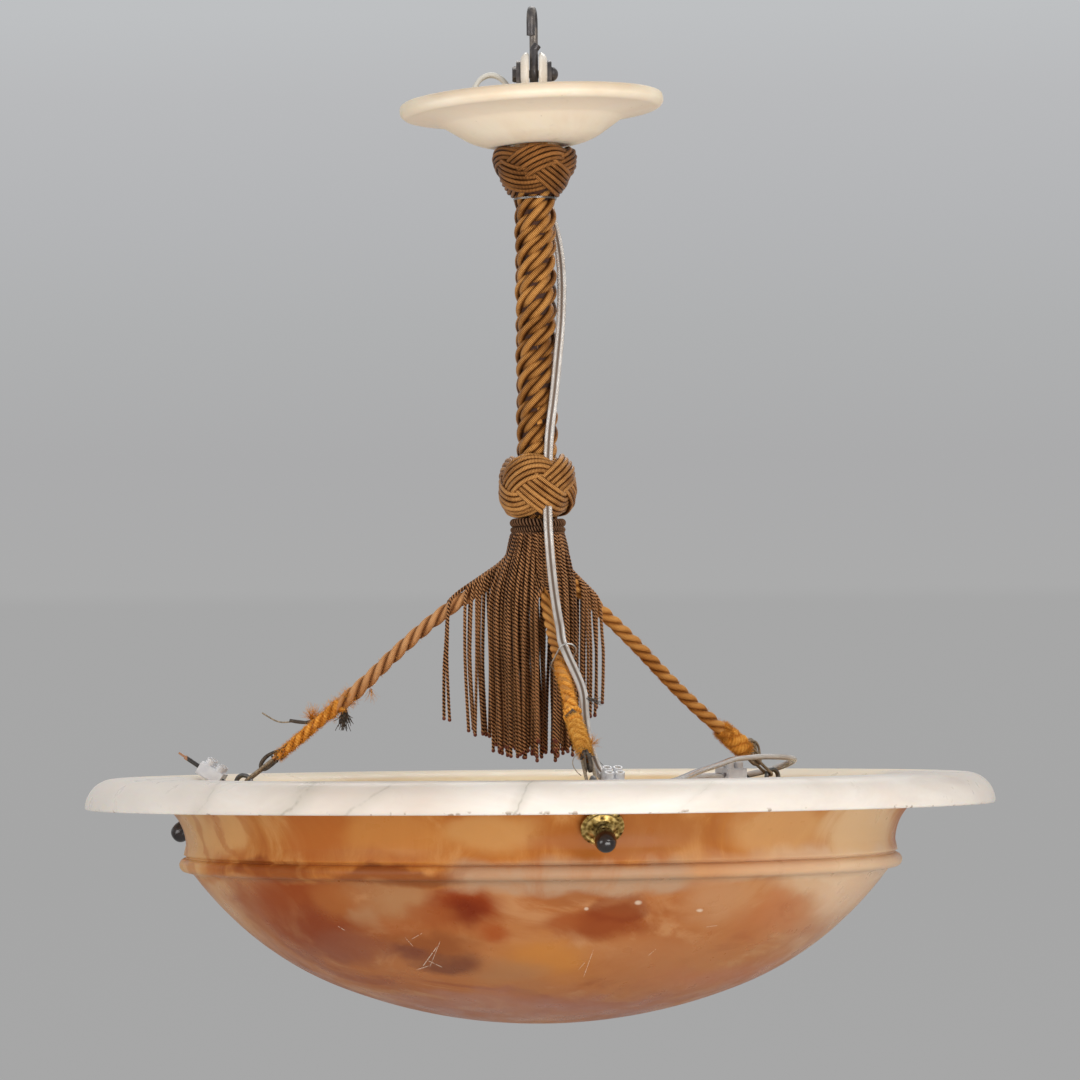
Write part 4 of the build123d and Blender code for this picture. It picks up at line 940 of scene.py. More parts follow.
# ---- frayed ends and wires ----
class Fibres(Batch):
    """Fluff, roving and wires, drawn with one shared run of random numbers."""

    def __init__(self, rng):
        super().__init__()
        self.rng = rng

    def any_way(self, reach):
        return Vector([self.rng.uniform(-reach, reach) for _ in range(3)])

    def hair(self, root, way, length, size=0.09, curl=0.5):
        """One loose fibre of five pieces, each turned a little from the last."""
        points = [root]
        heading = Vector(way).normalized()
        for _ in range(5):
            heading = (heading + self.any_way(curl)).normalized()
            points.append(points[-1] + heading * length / 5)
        line = np.array([tuple(point) for point in points])
        self.tube(line, np.linspace(size, size * 0.45, len(line)) * MM, sides=3)

    def fuzz(self, line, radius, count, length):
        """Loose fibres all round a stretch of line."""
        side, up, tangent = frames(line)
        for _ in range(count):
            index = self.rng.randrange(len(line))
            angle = self.rng.uniform(0, TURN)
            out = math.cos(angle) * side[index] + math.sin(angle) * up[index]
            root = Vector(line[index] + out * radius * 0.85)
            way = Vector(out + tangent[index] * self.rng.uniform(-0.9, 0.9))
            self.hair(root, way, length * self.rng.uniform(0.5, 1.3) * MM)

    def wrap(self, line, radius, turns, size):
        """Coarse roving wound unevenly round a stretch of line."""
        line, along = resample(line, 0.0006)
        side, up, _ = frames(line)
        share = along / along[-1]
        angle = TURN * turns * (share + 0.03 * np.sin(9 * share + turns))
        reach = even(share, radius) * (1 + 0.08 * np.sin(angle * 0.37 + 1.0))
        out = across(angle, side, up)
        self.tube(line + (reach * MM)[:, None] * out, size * MM, outward=out)

    def wool(self, line, radius, count, length):
        """Loose woolly cord: three uneven strands under a coat of short hairs."""
        line, along = resample(line, 0.0007)
        reach = even(along / along[-1], radius) * MM
        uneven = 1 + 0.12 * np.sin(along * 900 + 1) + 0.08 * np.sin(along * 2300)
        for strand, out in twisted(line, along, 3, 0.5 * reach, -0.019, self.rng.uniform(0, 6)):
            self.tube(strand, 0.62 * reach * uneven, sides=10, outward=out)
        self.fuzz(line, 0.9 * float(reach.mean()), count, length)

    def tuft(self, root, way, count, length, size, spread):
        """A brush of fibres that leave one place about the same way."""
        for _ in range(count):
            heading = Vector(way) + self.any_way(spread)
            start = root + self.any_way(0.8) * MM
            self.hair(start, heading, length * self.rng.uniform(0.6, 1.2) * MM, size, 0.25)

    def wire(self, points, radius, sides, step=0.001):
        """A thin wire along a smooth line."""
        self.tube(resample(read_line("wire", points), step)[0], radius * MM, sides=sides)


# loops of wire through each eye: number and radius
EYE_LOOPS = {"left": (3, 0.5), "right": (5, 0.65), "front": (4, 0.5)}
# loose loops at the right eye: reach, lift and radius
TANGLE = ((0.0, 9.0, 0.75), (1.6, 7.4, 0.7), (-1.8, 8.0, 0.6), (2.6, 9.6, 0.65), (0.8, 5.4, 0.7))
# threads of the left cord's splice: sideways shift and lift
SPLICE_THREADS = ((-1.2, 0.0), (0.0, 0.8), (1.0, -0.5), (0.3, -1.4))


def lay_frays():
    """Worn ends of the cords: wool, roving and tufts, and wires through the studs' eyes."""
    rng = random.Random(7)
    orange, yellow, dark, wires = (Fibres(rng) for _ in range(4))
    spline = {side: read_line("fray_" + side, cord_points(side)) for side in AZIMUTH}

    def part(side, low, high):
        """Stretch of a cord's free line between two distances from the axis."""
        line = spline[side]
        radius = outward_of(side, line)
        return resample(line[(radius >= low) & (radius <= high) & (line[:, 2] < -262 * MM)], 0.001)[0]

    # left: fluff, a dark splice, then a thin woolly cord with a dark wire along its top
    orange.wool(part("left", 104.0, 139.0), [3.2, 2.6, 2.5, 2.6, 2.4, 1.9], 2600, 1.9)
    orange.fuzz(part("left", 98.0, 112.0), 3.5 * MM, 320, 3.4)
    orange.fuzz(part("left", 60.0, 98.0), 3.6 * MM, 160, 1.3)
    dark.tube(part("left", 124.0, 140.0) + np.array((0.4, -1.4, 2.2)) * MM, 0.6 * MM, sides=7)
    for shift, low in SPLICE_THREADS:
        tail = [(107, -1.6 + shift, -345.6 + low), (114, -3.4 + shift, -349.6 + low),
                (121, -4.4 + shift, -352.0 + low * 0.6), (127, -5 + shift * 0.6, -352.4 - low * 0.3),
                (133.5, -5.3 + shift * 0.3, -351.2)]
        dark.wire([place("left", *point) for point in tail], 0.85, 7)
    far = [(131, -5.2, -351.6), (136, -5.4, -352.2), (140, -5.8, -351.9), (144, -6.2, -350.2),
           (149, -6.6, -347.2)]
    wires.wire([place("left", *point) for point in far], 0.42, 6)
    orange.tuft(place("left", 121, -3.0, -350.5), (0.1, -0.2, 1.0), 130, 7.5, 0.085, 0.9)
    orange.tuft(place("left", 89.5, -3.0, -336.0), (0.15, -0.2, -1.0), 24, 7.0, 0.075, 0.6)
    dark.tuft(place("left", 103.5, -2.8, -345.2), (0.0, -0.15, -1.0), 60, 10.5, 0.38, 0.17)
    dark.wrap(part("left", 134.0, 141.0), [1.9, 2.2, 1.9], 4, 0.6)
    # right: a thick fuzzy end
    orange.wool(part("right", 120.0, 139.5), [3.4, 4.2, 5.0, 4.8, 3.0], 5200, 2.4)
    orange.fuzz(part("right", 60.0, 122.0), 3.5 * MM, 300, 1.3)
    wires.wrap(part("right", 136.0, 141.0), [2.8, 3.0, 2.6], 3, 0.7)
    # front: fuzzy from the tie downward, a dark knot, yellow towards its foot
    orange.wool(part("front", 66.0, 104.0), [2.2, 2.6, 2.8, 2.9], 2400, 2.2)
    orange.wrap(part("front", 96.0, 108.0), [2.8, 3.6, 3.0], 2, 1.4)
    yellow.wool(part("front", 104.0, 137.0), [2.9, 3.5, 3.4, 3.1, 2.2], 3600, 2.4)
    dark.wrap(part("front", 100.0, 103.0), [3.4, 3.6], 1, 1.1)
    dark.wrap(part("front", 133.0, 141.0), [2.6, 2.5, 2.0], 4, 0.7)
    dark.tuft(place("front", 122, 5.2, -366), (0.35, -0.1, -0.9), 12, 9.0, 0.3, 0.15)
    dark.tuft(place("front", 94, 8.6, -341.5), (0.85, -0.1, -0.3), 9, 7.0, 0.3, 0.22)
    orange.tuft(place("front", 122, 4.6, -364), (0.6, -0.1, 0.8), 60, 5.5, 0.085, 0.7)
    # loops of wire through each eye, then the tangle at the right one and a curl at the front one
    for side, (count, thick) in EYE_LOOPS.items():
        for _ in range(count):
            lean, bulge = rng.uniform(-1.6, 1.6), rng.uniform(2.4, 4.2)
            hook = ((-56, lean * 0.4, 1.2), (-49, lean, bulge), (-42.5, lean * 1.3, bulge * 0.8),
                    (-39.5, lean, 0.2), (-42.5, lean * 0.8, -bulge * 0.7), (-50, lean * 0.5, -1.6))
            batch = wires if side == "right" else dark
            batch.wire([stud(side, *point) for point in hook], thick, 7, 0.0008)
    for reach, lift, thick in TANGLE:
        loop = ((-55, 0, 3), (-51 + reach, 3, lift), (-44 + reach, 5, lift + 1),
                (-38.5 + reach, 5, lift * 0.4), (-40, 3, 0))
        wires.wire([stud("right", *point) for point in loop], thick, 8, 0.0008)
    curl = ((-52, -3, 2), (-47, -7, 4), (-41, -8, 1), (-38, -4, -1))
    wires.wire([stud("front", *point) for point in curl], 0.2, 6, 0.0008)
    orange.build("cord_fuzz", fuzz_yarn, slot="cord")
    yellow.build("cord_fuzz_yellow", yellow_yarn, slot="cord")
    dark.build("cord_frays", dark_fibre, slot="cord_wire")
    wires.build("cord_wires", brown_wire, slot="cord_wire")


# ---- turned stone ----
def arc(a, b, c, steps):
    """Points of the circle arc from a through b to c."""
    (ax, ay), (bx, by), (cx, cy) = a, b, c
    d = 2 * (ax * (by - cy) + bx * (cy - ay) + cx * (ay - by))
    sa, sb, sc = ax * ax + ay * ay, bx * bx + by * by, cx * cx + cy * cy
    ux = (sa * (by - cy) + sb * (cy - ay) + sc * (ay - by)) / d
    uy = (sa * (cx - bx) + sb * (ax - cx) + sc * (bx - ax)) / d
    radius = math.hypot(ax - ux, ay - uy)
    first, _, last = np.unwrap([math.atan2(y - uy, x - ux) for x, y in (a, b, c)])
    angles = np.linspace(first, last, steps + 1)
    return [(ux + radius * math.cos(t), uy + radius * math.sin(t)) for t in angles]


def outline(start, *stretches):
    """Points of an outline: each stretch is an end, or a middle and an end, and a number of steps."""
    points = [start]
    for *through, end, steps in stretches:
        if through:
            points += arc(points[-1], through[0], end, steps)[1:]
        else:
            points += [tuple(p) for p in np.linspace(points[-1], end, steps + 1)[1:]]
    return points


def spin(name, points, steps, material, node, body, shift=None):
    """Solid of revolution from a closed outline."""
    r, z = np.array(points).T
    angle = np.linspace(0, TURN, steps, endpoint=False)[:, None]
    verts = around(r, angle, z)
    if shift is not None:
        verts = shift(verts)
    n = len(points)
    i, k = np.meshgrid(np.arange(steps), np.arange(n), indexing="ij")
    j, m = (i + 1) % steps, (k + 1) % n
    faces = np.stack([i * n + k, j * n + k, j * n + m, i * n + m], -1).reshape(-1, 4)
    mesh = quad_mesh(name, verts.reshape(-1, 3) * MM, faces)
    finish_piece(mesh, name, material, [node], body)


BOWL_OUTLINE = outline(
    (0.3, -501.7), ((50.913, -496.856), (100.0, -482.499), 26),
    ((126.481, -468.965), (150.0, -450.764), 20), ((161.531, -439.009), (172.0, -426.3), 14),
    ((174.9, -425.4), 3), ((175.3, -425.3), 1), ((178.8, -421.8), (175.3, -418.3), 16),
    ((175.3, -418.0), 1), ((175.6, -417.4), 2), ((176.6, -416.8), 1), ((176.3, -415.4), 2),
    ((175.5, -412.0), 1), ((180.211, -398.346), (192.0, -390.0), 20), ((223.6, -394.1), 16),
    ((224.8, -393.7), (225.0, -392.6), 4), ((225.0, -392.4), 1), ((220.8, -383.4), (211.0, -379.1), 18),
    ((183.5, -379.1), 12), ((169.4, -385.0), (163.5, -399.1), 18), ((162.416, -419.079), 10),
    ((152.608, -430.985), (141.806, -441.997), 12), ((120.051, -458.833), (95.556, -471.352), 16),
    ((48.651, -485.072), (0.3, -489.7), 20),
)

CANOPY_OUTLINE = outline(
    (57.0, 0), ((63.2, 0), 4), ((65.2, -0.9), (65.8, -2.4), 6), ((65.8, -4.6), 3),
    ((64.4, -6.6), (61.2, -7.6), 8), ((53.2, -9.0), (45.0, -11.6), 14), ((36.0, -17.6), 6),
    ((28.0, -21.7), (18.5, -23.6), 12), ((14.0, -23.6), 3), ((14.0, -19.4), 4), ((20.0, -19.1), 4),
    ((28.0, -17.2), (36.0, -12.8), 8), ((48.0, -4.6), (57.0, 0), 12),
)
CANOPY_TILT, CANOPY_SHIFT = math.radians(-2.6), (-1.5, -42.3)


def canopy_place(verts):
    """Tilt the dish as it hangs and move it to its place."""
    sin, cos = math.sin(CANOPY_TILT), math.cos(CANOPY_TILT)
    x, y, z = verts[..., 0], verts[..., 1], verts[..., 2]
    return np.stack([x * cos + z * sin + CANOPY_SHIFT[0], y, z * cos - x * sin + CANOPY_SHIFT[1]], axis=-1)


# soft blobs: centre and size in millimetres, colour and share
BODY_PATCHES = (
    ((-152, -84, -436), (28, 70, 22), (204, 154, 104), 0.85),
    ((-126, -112, -436), (36, 60, 20), (146, 66, 22), 0.95),
    ((-110, -120, -450), (38, 60, 14), (136, 60, 24), 0.95),
    ((-92, -134, -438), (13, 50, 12), (166, 96, 46), 0.8),
    ((-94, -106, -461), (34, 60, 8), (138, 76, 50), 0.8),
    ((-64, -148, -434), (22, 60, 13), (172, 122, 80), 0.9),
    ((-80, -134, -446), (8, 50, 7), (176, 130, 90), 0.7),
    ((-62, -138, -450), (22, 60, 8), (160, 86, 40), 0.7),
    ((-33, -160, -437), (19, 50, 13), (138, 56, 20), 1.0),
    ((-35, -158, -440), (10, 50, 8), (112, 38, 14), 0.8),
    ((-50, -150, -441), (14, 50, 7), (156, 82, 38), 0.8),
    ((-25, -145, -452), (10, 50, 6), (160, 78, 32), 0.9),
    ((-56, -128, -457), (24, 60, 8), (142, 78, 38), 0.9),
    ((-66, -116, -461), (10, 60, 4.5), (112, 60, 44), 0.7),
    ((-49, -112, -468), (16, 60, 5.5), (104, 56, 40), 0.75),
    ((2, -132, -464), (26, 60, 12), (190, 122, 56), 0.9),
    ((-18, -116, -473), (20, 60, 9), (168, 116, 74), 0.7),
    ((12, -156, -431), (13, 50, 7), (156, 94, 52), 0.85),
    ((33, -159, -438), (14, 50, 10), (138, 70, 34), 1.0),
    ((26, -154, -446), (28, 50, 9), (142, 68, 30), 0.95),
    ((10, -152, -446), (12, 50, 6), (156, 82, 38), 0.85),
    ((60, -120, -462), (34, 60, 12), (174, 112, 68), 0.7),
    ((80, -140, -436), (20, 60, 14), (186, 134, 92), 0.8),
    ((112, -112, -446), (26, 60, 13), (184, 112, 66), 0.65),
    ((132, -108, -430), (32, 60, 9), (206, 168, 130), 0.9),
    ((152, -66, -434), (24, 60, 20), (220, 184, 150), 0.95),
    # the last three, low on the bowl, are painted reflection: the pale sheen seen there
    ((30, -86, -486), (60, 70, 6), (160, 98, 74), 0.8),
    ((-20, -70, -491), (70, 70, 7), (170, 118, 98), 0.6),
    ((90, -80, -474), (40, 70, 9), (176, 106, 72), 0.6),
)
NECK_PATCHES = (
    ((-172, -58, -405), (20, 70, 24), (214, 166, 108), 0.9),
    ((-148, -104, -404), (14, 60, 12), (216, 164, 104), 0.8),
    ((-104, -148, -405), (18, 60, 16), (178, 100, 42), 0.8),
    ((-66, -166, -403), (26, 60, 9), (196, 130, 66), 0.7),
    ((-20, -180, -402), (26, 50, 10), (200, 144, 84), 0.85),
    ((18, -180, -406), (22, 50, 12), (168, 96, 36), 0.9),
    ((50, -170, -404), (34, 60, 14), (172, 104, 50), 0.8),
    ((112, -140, -404), (30, 60, 14), (212, 160, 104), 0.8),
    ((156, -90, -404), (32, 60, 22), (222, 184, 138), 0.95),
    ((-60, -168, -423), (36, 60, 6), (138, 76, 38), 0.9),
    ((-126, -124, -423), (34, 60, 6), (140, 70, 28), 0.85),
    ((72, -158, -423), (44, 60, 6), (188, 132, 86), 0.8),
)
# veins of the rim: place across the front, slope, width and share
RIM_VEINS = ((-116, 1.1, 2.6, 0.55), (-88, 1.7, 2.2, 0.35), (-11, 0.35, 1.2, 0.45), (-160, 0.8, 1.4, 0.25),
             (64, 1.2, 0.8, 0.12))
# scratches: place across the front, height, slope, length and width
SCRATCHES = (
    (-53, -463, 1.4, 9, 0.32), (-50, -466, -0.5, 7, 0.26), (-56, -468, 0.35, 7, 0.26),
    (-50, -461, 2.4, 6, 0.2), (-58, -452, 0.6, 6, 0.16), (-62, -455, -1.2, 4, 0.16),
    (22, -466, 3.0, 5, 0.18), (19, -467, 1.2, 4, 0.14), (-94, -449, -0.6, 4, 0.25),
    (80, -449, 0.1, 6, 0.14), (52, -461, 0.9, 4, 0.14),
)
# pale chips, written like the blobs above
CHIPS = (
    ((74, -135, -441), (2.2, 30, 1.2), (220, 196, 170), 0.7),
    ((45, -153, -436.5), (2.4, 30, 1.6), (220, 196, 170), 0.7),
    ((21, -153, -439), (1.4, 30, 1.1), (220, 196, 170), 0.7),
)


def rim_colour(s, place):
    """Cream rim with a pink haze, soft slanting grey veins and small chips along its lower edge."""
    x, y, z = s.parts(place)
    soft = s.noise(s.mapping(place, (1, 1, 2.0), (0.2, 0.1, 0)), 12.0, 5.0, 0.6, 0.8)
    rim = s.ramp(soft, (0.3, rgb(217, 205, 194)), (0.5, rgb(227, 217, 206)), (0.7, rgb(235, 227, 218)))
    haze = s.span(s.noise(place, 21.0, 4.0), 0.52, 0.78)
    rim = s.mix(haze * 0.35, rim, rgb(230, 202, 182))
    rim = s.mix(s.band(x, -0.14, -0.09, -0.06, -0.02) * 0.5, rim, rgb(206, 188, 172))
    # painted light: paler towards the rim's far left end, against the lamps' falloff there
    rim = s.mix(s.span(x, -0.13, -0.2, 0.0, 0.6), rim, rgb(240, 232, 222))
    bent = (s.noise(place, 22.0, 4.0, 0.6) - 0.5) * 0.026
    broken = s.span(s.noise(place, 95.0, 4.0, 0.7), 0.36, 0.62)
    front = s.span(y, -0.06, -0.09)
    for at, slope, width, share in RIM_VEINS:
        off = abs(x - at * MM + ((z + 0.392) * -slope + bent))
        wide = s.span(off, width * 5.0 * MM, 0.0) * (front * (share * 0.8))
        fine = s.span(off, width * 0.8 * MM, 0.0) * (front * share)
        rim = s.mix(wide, rim, rgb(186, 178, 164))
        rim = s.mix(fine * broken, rim, rgb(150, 140, 122))
    grime = s.span(s.noise(place, 210.0, 2.0), 0.62, 0.70)
    return s.mix(s.span(z, -0.3918, -0.3936) * grime * 0.75, rim, rgb(140, 116, 92))


def scratch_mask(s, place):
    """Thin broken strokes on the front of the bowl."""
    x, y, z = s.parts(place)
    front = s.span(y, -0.05, -0.08)
    strokes = None
    for cx, cz, slope, length, width in SCRATCHES:
        off = x - cx * MM
        near = s.span(abs(off), length * 0.5 * MM, length * 0.35 * MM) * front
        thick = width * math.sqrt(1 + slope * slope) * MM
        stroke = s.span(abs(z - cz * MM - off * slope), thick, 0.0) * near
        strokes = stroke if strokes is None else s.math("MAXIMUM", strokes, stroke)
    return strokes * s.span(s.noise(place, 900.0, 2.0), 0.36, 0.5)


def patched(s, base, place, patches, grow, edge, amount, core):
    """A colour with soft blobs laid over it, one after another."""
    for centre, size, colour, share in patches:
        mask = s.near(place, centre, [grow * reach for reach in size], edge, amount, core)
        base = s.mix(mask * share, base, rgb(*colour))
    return base


def body_colour(s, place, warped, cloud, fine, amber):
    """Amber clouds, rust patches and one ringed spot, paler to the right, with a painted reflection low
    down.
    """
    x, _, _ = s.parts(place)
    body = s.mix(s.span(cloud, 0.52, 0.66, 0.0, 0.7), amber, rgb(190, 136, 90))
    body = s.mix(s.span(cloud, 0.45, 0.30, 0.0, 0.6), body, rgb(142, 72, 36))
    body = patched(s, body, warped, BODY_PATCHES, 1.3, cloud, 0.9, 0.25)
    spot = s.near(warped, (33, -160, -437), (14.5, 50, 10), fine, 0.3)
    ring = s.math("MULTIPLY", spot * (1.0 - spot), 3.2, clamp=True)
    body = s.mix(ring * 0.5, body, rgb(122, 48, 20))
    pale = s.span(x, 0.095, 0.16) * s.span(cloud, 0.3, 0.6, 0.25, 0.6)
    return s.mix(pale, body, rgb(212, 174, 138))


def neck_colour(s, place, warped, wisp):
    """Wispy neck, swirled at its left."""
    x, _, _ = s.parts(place)
    wx, _, wz = s.parts(warped)
    neck = s.ramp(wisp, (0.3, rgb(170, 94, 38)), (0.52, rgb(188, 120, 58)), (0.74, rgb(208, 152, 92)))
    neck = patched(s, neck, warped, NECK_PATCHES, 1.15, wisp, 0.8, 0.5)
    swirl = s.span(s.math("SINE", (wx + wz * 0.5) * 460.0), 0.5, 1.0) * s.span(x, -0.118, -0.145)
    return s.mix(swirl * 0.5, neck, rgb(176, 104, 46))


def bowl_material():
    """Amber and cream alabaster, waxy and polished: clouds, rust patches, a pale veined rim."""
    s = Shader("bowl_alabaster")
    place = s.coord()
    x, y, z = s.parts(place)
    broad = s.noise(place, 9.0, 5.0, 0.6, 0.6)
    cloud = s.noise(s.mapping(place, (1, 1, 1.4), (0.31, 0.12, 0.05)), 17.0, 6.0, 0.6, 1.3)
    fine = s.noise(place, 55.0, 5.0, 0.6, 0.4)
    wisp = s.noise(s.mapping(place, (1, 1, 0.35), (0.07, 0.4, 0.2)), 24.0, 6.0, 0.65, 1.6)
    warped = s.warp(s.warp(place, 16.0, 0.014), 60.0, 0.0035)
    wx, _, wz = s.parts(warped)
    amber = s.ramp(broad, (0.30, rgb(150, 82, 40)), (0.5, rgb(168, 100, 52)), (0.68, rgb(184, 122, 72)))
    body = body_colour(s, place, warped, cloud, fine, amber)
    body = s.mix(s.span(wz, -0.4285, -0.4245), body, neck_colour(s, place, warped, wisp))
    # the pale belt at and under the bead, on the right and in the middle
    beside = s.band(wz, -0.4305, -0.4265, -0.417, -0.410) * s.span(x, 0.05, 0.15)
    body = s.mix(beside * 0.8, body, rgb(220, 188, 154))
    belt = s.band(wz, -0.4325, -0.4270, -0.419, -0.413) * s.span(abs(wx - 0.015), 0.060, 0.042)
    body = s.mix(belt * s.span(wisp, 0.3, 0.6, 0.55, 0.95), body, rgb(176, 140, 110))
    # the rim, and the warmer back of its top
    reach = s.math("SQRT", x * x + y * y)
    on_rim = s.span(reach, 0.1925, 0.199) * s.span(z, -0.3965, -0.3945)
    on_top = s.span(z, -0.386, -0.3805)
    colour = s.mix(s.math("MAXIMUM", on_rim, on_top), body, rim_colour(s, place))
    colour = s.mix(s.span(y, 0.02, 0.06) * (on_top * 0.7), colour, rgb(250, 230, 196))
    # painted light on the inside: its throat, and the dish below it where the stone faces up, weaker towards
    # the bottom
    up = s.parts(s.coord("Normal"))[2]
    throat = s.span(reach, 0.1745, 0.1715) * s.span(z, -0.4195, -0.4185)
    dish = s.span(up, 0.0, 0.1) * (s.span(reach, 0.1735, 0.1705) * s.span(z, -0.4150, -0.4195))
    inside = s.math("MAXIMUM", throat, dish) * s.span(z, -0.460, -0.400, 0.3, 1.0)
    colour = s.mix(inside, colour, s.ramp(broad, (0.35, rgb(236, 200, 146)), (0.65, rgb(250, 232, 196))))
    # scratches and chips
    broken = scratch_mask(s, place)
    colour = s.mix(broken * 0.7, colour, rgb(232, 212, 190))
    colour = patched(s, colour, place, CHIPS, 1.0, fine, 0.6, 0.35)
    s.set(Base_Color=colour, Subsurface_Weight=0.12, Subsurface_Radius=(0.007, 0.0035, 0.0015))
    s.set(Subsurface_Scale=1.0, Specular_IOR_Level=0.12, IOR=1.5)
    s.set(Roughness=s.span(s.noise(place, 70.0, 4.0), 0.3, 0.7, 0.26, 0.42))
    ripple = s.noise(s.mapping(place, (1, 1, 7.0)), 60.0)
    pits = s.span(s.noise(place, 520.0, 2.0), 0.7, 0.8)
    s.bump(ripple * 0.35 - pits * 0.4 + broken * -0.6, 0.12, 0.5)
    return s.material


def canopy_material():
    """Cream alabaster, nearly even, with faint grey wisps, a few specks and a smear by the rope."""
    s = Shader("canopy_alabaster")
    place = s.coord()
    x, _, z = s.parts(place)
    broad = s.noise(place, 22.0, 5.0, 0.6, 0.6)
    colour = s.ramp(broad, (0.32, rgb(232, 212, 184)), (0.5, rgb(240, 224, 199)), (0.68, rgb(245, 232, 211)))
    wisps = s.span(s.noise(s.mapping(place, (1, 1, 4.0)), 60.0, 5.0, 0.65, 0.8), 0.62, 0.76)
    colour = s.mix(wisps * 0.45, colour, rgb(188, 176, 156))
    specks = s.span(s.noise(place, 260.0, 2.0), 0.735, 0.77)
    colour = s.mix(specks * 0.6, colour, rgb(140, 118, 92))
    smear = s.near(place, (4, -20, -62.5), (13, 12, 2.0), s.noise(place, 120.0, 4.0), 1.4)
    colour = s.mix(smear * 0.4, colour, rgb(160, 146, 104))
    # height over the tilted dish: painted shade darkens its lip in front, and painted light pales the
    # down-facing stone just under it
    level = z + x * -0.0454
    lip_shade = s.span(level, -0.0475, -0.0445) * s.span(abs(x), 0.062, 0.045)
    colour = s.mix(lip_shade * 0.8, colour, rgb(214, 192, 165))
    # painted light on the down-facing stone under the lip
    under = s.band(level, -0.060, -0.0530, -0.0500, -0.0475)
    colour = s.mix(under * 0.6, colour, rgb(250, 232, 208))
    s.set(Base_Color=colour, Subsurface_Weight=0.15, Subsurface_Radius=(0.007, 0.004, 0.002))
    s.set(Subsurface_Scale=1.0, Specular_IOR_Level=0.25, IOR=1.5)
    s.set(Roughness=s.span(s.noise(place, 90.0), 0.3, 0.7, 0.5, 0.62))
    s.bump(s.noise(place, 150.0) * 0.3 - specks, 0.1, 0.5)
    return s.material


# ---- all pieces ----
ONE_NODE = (
    (iron, "ceiling_hook shackle shackle_bolt shackle_nut ferrule_screw"),
    (brass, "cord_ferrule connector_screws terminal_screws"),
    (glaze, "insulator_disc_left insulator_disc_right"),
    (steel, "stud_washers stud_nuts holder_nuts"),
    (block, "canopy_connector"), (bright_wire, "flex_tie"), (spare_wire, "spare_wire"),
)
ONE_A_SIDE = (
    (brown_wire, "cord_wire"), (steel, "eye_stud"), (rosette_brass, "rosette"), (knob_paint, "ball_knob"),
    (brass, "lamp_bracket bulb_cap"), (bakelite, "lampholder"), (glass, "bulb"), (block, "terminal_block"),
)


def dress_nodes():
    """Give each carried-over CAD node its finish."""
    finishes = {name: finish for finish, names in ONE_NODE for name in names.split()}
    for finish, names in ONE_A_SIDE:
        finishes.update({f"{name}_{side}": finish for name in names.split() for side in AZIMUTH})
    for name, finish in finishes.items():
        for slot in nodes[name].material_slots:
            slot.material = finish


lay_rope()
braided_knot("upper_knot", UPPER_OUTLINE, gap=2.42, swing=8.2, depth=1.2, size=1.25, phase=0.24, hand=1,
             material=knot_yarn)
braided_knot("lower_knot", LOWER_OUTLINE, gap=2.66, swing=11.0, depth=1.3, size=1.38, phase=0.5, hand=-1,
             material=lower_yarn)
lay_column("upper_knot_core", np.linspace(-68.0, -91.0, 9), UPPER_CORE, 32, "knot_cord")
lay_column("lower_knot_core", np.linspace(-222.0, -250.5, 9), LOWER_CORE, 32, "knot_cord")
lay_collar()
lay_binding()
lay_tassel()
lay_frays()
spin("bowl_stone", BOWL_OUTLINE, 256, bowl_material(), "bowl", "pendant")
spin("canopy_stone", CANOPY_OUTLINE, 160, canopy_material(), "canopy", "canopy", canopy_place)
dress_nodes()


# ---- light and backdrop ----
def lamp(name, place, aim, size, power, colour=(1, 1, 1)):
    data = bpy.data.lights.new(name, "AREA")
    data.shape = "RECTANGLE"
    data.size, data.size_y = size
    data.energy = power
    data.color = colour
    light = add(name, data)
    light.location = place
    light.rotation_euler = (Vector(aim) - Vector(place)).to_track_quat("-Z", "Y").to_euler()


lamp("key", (1.4, -2.3, 0.8), (0, 0, -0.25), (1.2, 1.2), 31.0, (1.0, 0.985, 0.96))
lamp("fill", (-2.4, -2.0, 0.0), (0, 0, -0.3), (1.6, 2.0), 31.0, (0.985, 0.99, 1.0))
lamp("low", (0.9, -2.5, -1.5), (0, 0, -0.3), (2.0, 1.2), 42.0)
lamp("rim", (0.2, 1.6, 1.3), (0, 0, -0.3), (1.6, 1.0), 15.0)

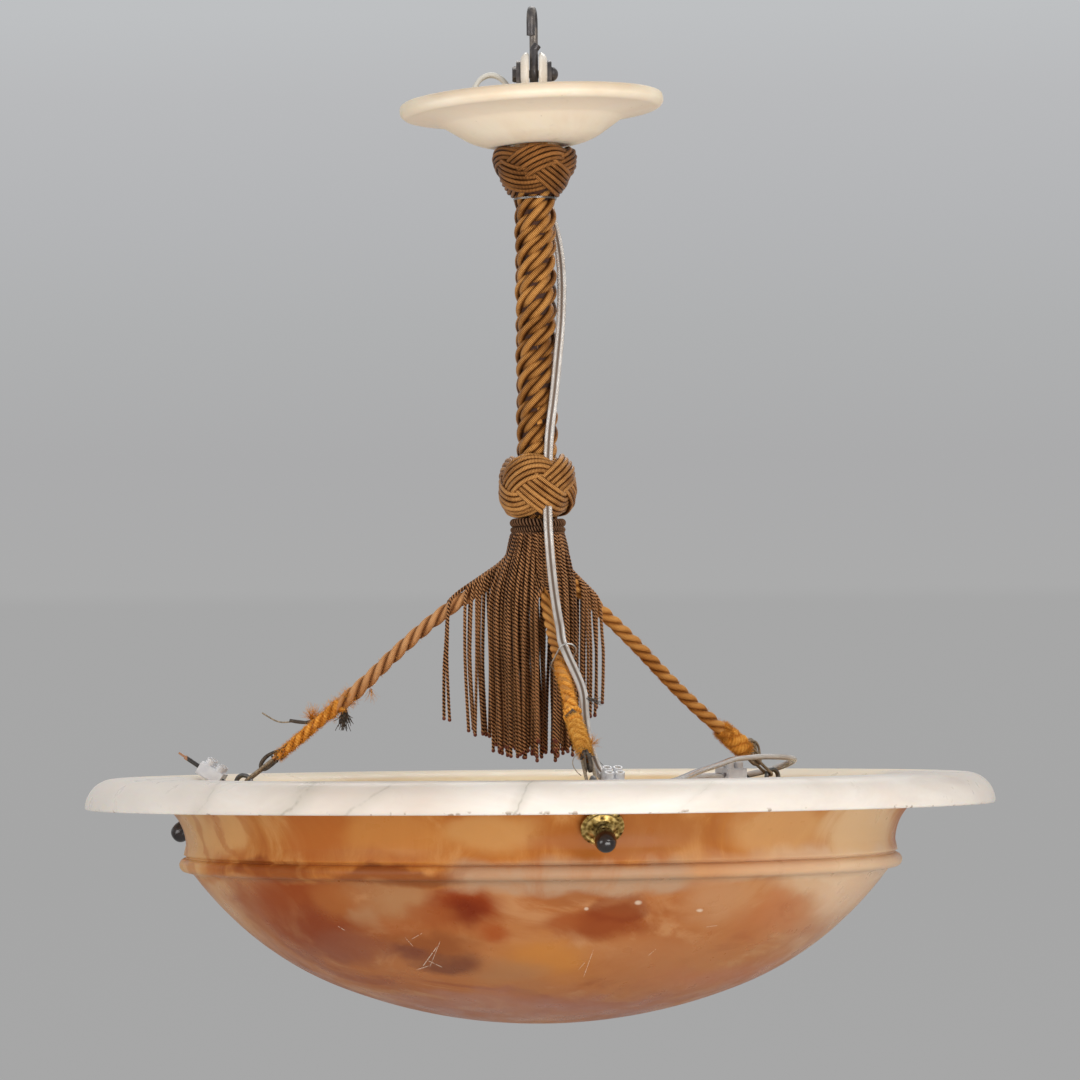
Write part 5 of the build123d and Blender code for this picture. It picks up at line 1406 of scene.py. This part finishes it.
WALL_LOW, WALL_HIGH, SOFT_LIGHT = -0.08, 0.16, 0.46
FLOOR_RADIUS, FLOOR_HEIGHT, FLOOR_SIDES = 3.2, -2.1, 96
# shares of the wall's height, and the tone at each
WALL_TONES = (
    (0.0, (167, 167, 167)), (0.2, (166, 166, 166)), (0.424, (167, 167, 167)), (0.436, (171, 171, 171)),
    (0.55, (171, 171, 172)), (0.66, (175, 176, 177)), (0.76, (180, 181, 183)), (0.86, (185, 186, 188)),
    (0.93, (190, 192, 194)),
)


def backdrop():
    """Grey studio wall: paler towards the top, with the paper's edge just below the middle."""
    scene.world = bpy.data.worlds.new("studio")
    n = Nodes(scene.world)
    height = n.parts(n.coord("Generated"))[2]
    share = n.add("MapRange", {"Value": height, "From Min": WALL_LOW, "From Max": WALL_HIGH})
    seen = n.add("Background", {"Color": n.ramp(share, *((at, rgb(*tone)) for at, tone in WALL_TONES))})
    soft = n.add("Background", {"Color": (1.0, 1.0, 1.0), "Strength": SOFT_LIGHT})
    rays = [n.add("LightPath", out=f"Is {kind} Ray") for kind in ("Camera", "Glossy", "Transmission")]
    direct = n.math("MAXIMUM", n.math("MAXIMUM", rays[0], rays[1]), rays[2])
    output = n.tree.nodes.new("ShaderNodeOutputWorld")
    n.put(output.inputs["Surface"], n.add("MixShader", (direct, soft, seen)))


def lay_floor():
    """Round grey floor well below the lamp, out of the first view."""
    angles = [TURN * k / FLOOR_SIDES for k in range(FLOOR_SIDES)]
    ring = [(FLOOR_RADIUS * math.cos(a), FLOOR_RADIUS * math.sin(a), FLOOR_HEIGHT) for a in angles]
    mesh = bpy.data.meshes.new("floor")
    mesh.from_pydata(ring, [], [list(range(FLOOR_SIDES))])
    s = Shader("floor_paper")
    paper = s.mix(s.noise(s.coord(), 2.0, 2.0), rgb(176, 176, 176), rgb(182, 182, 182))
    s.set(Base_Color=paper, Roughness=0.8)
    mesh.materials.append(s.material)
    add("floor", mesh)


backdrop()
lay_floor()
scene.view_settings.view_transform = "Standard"
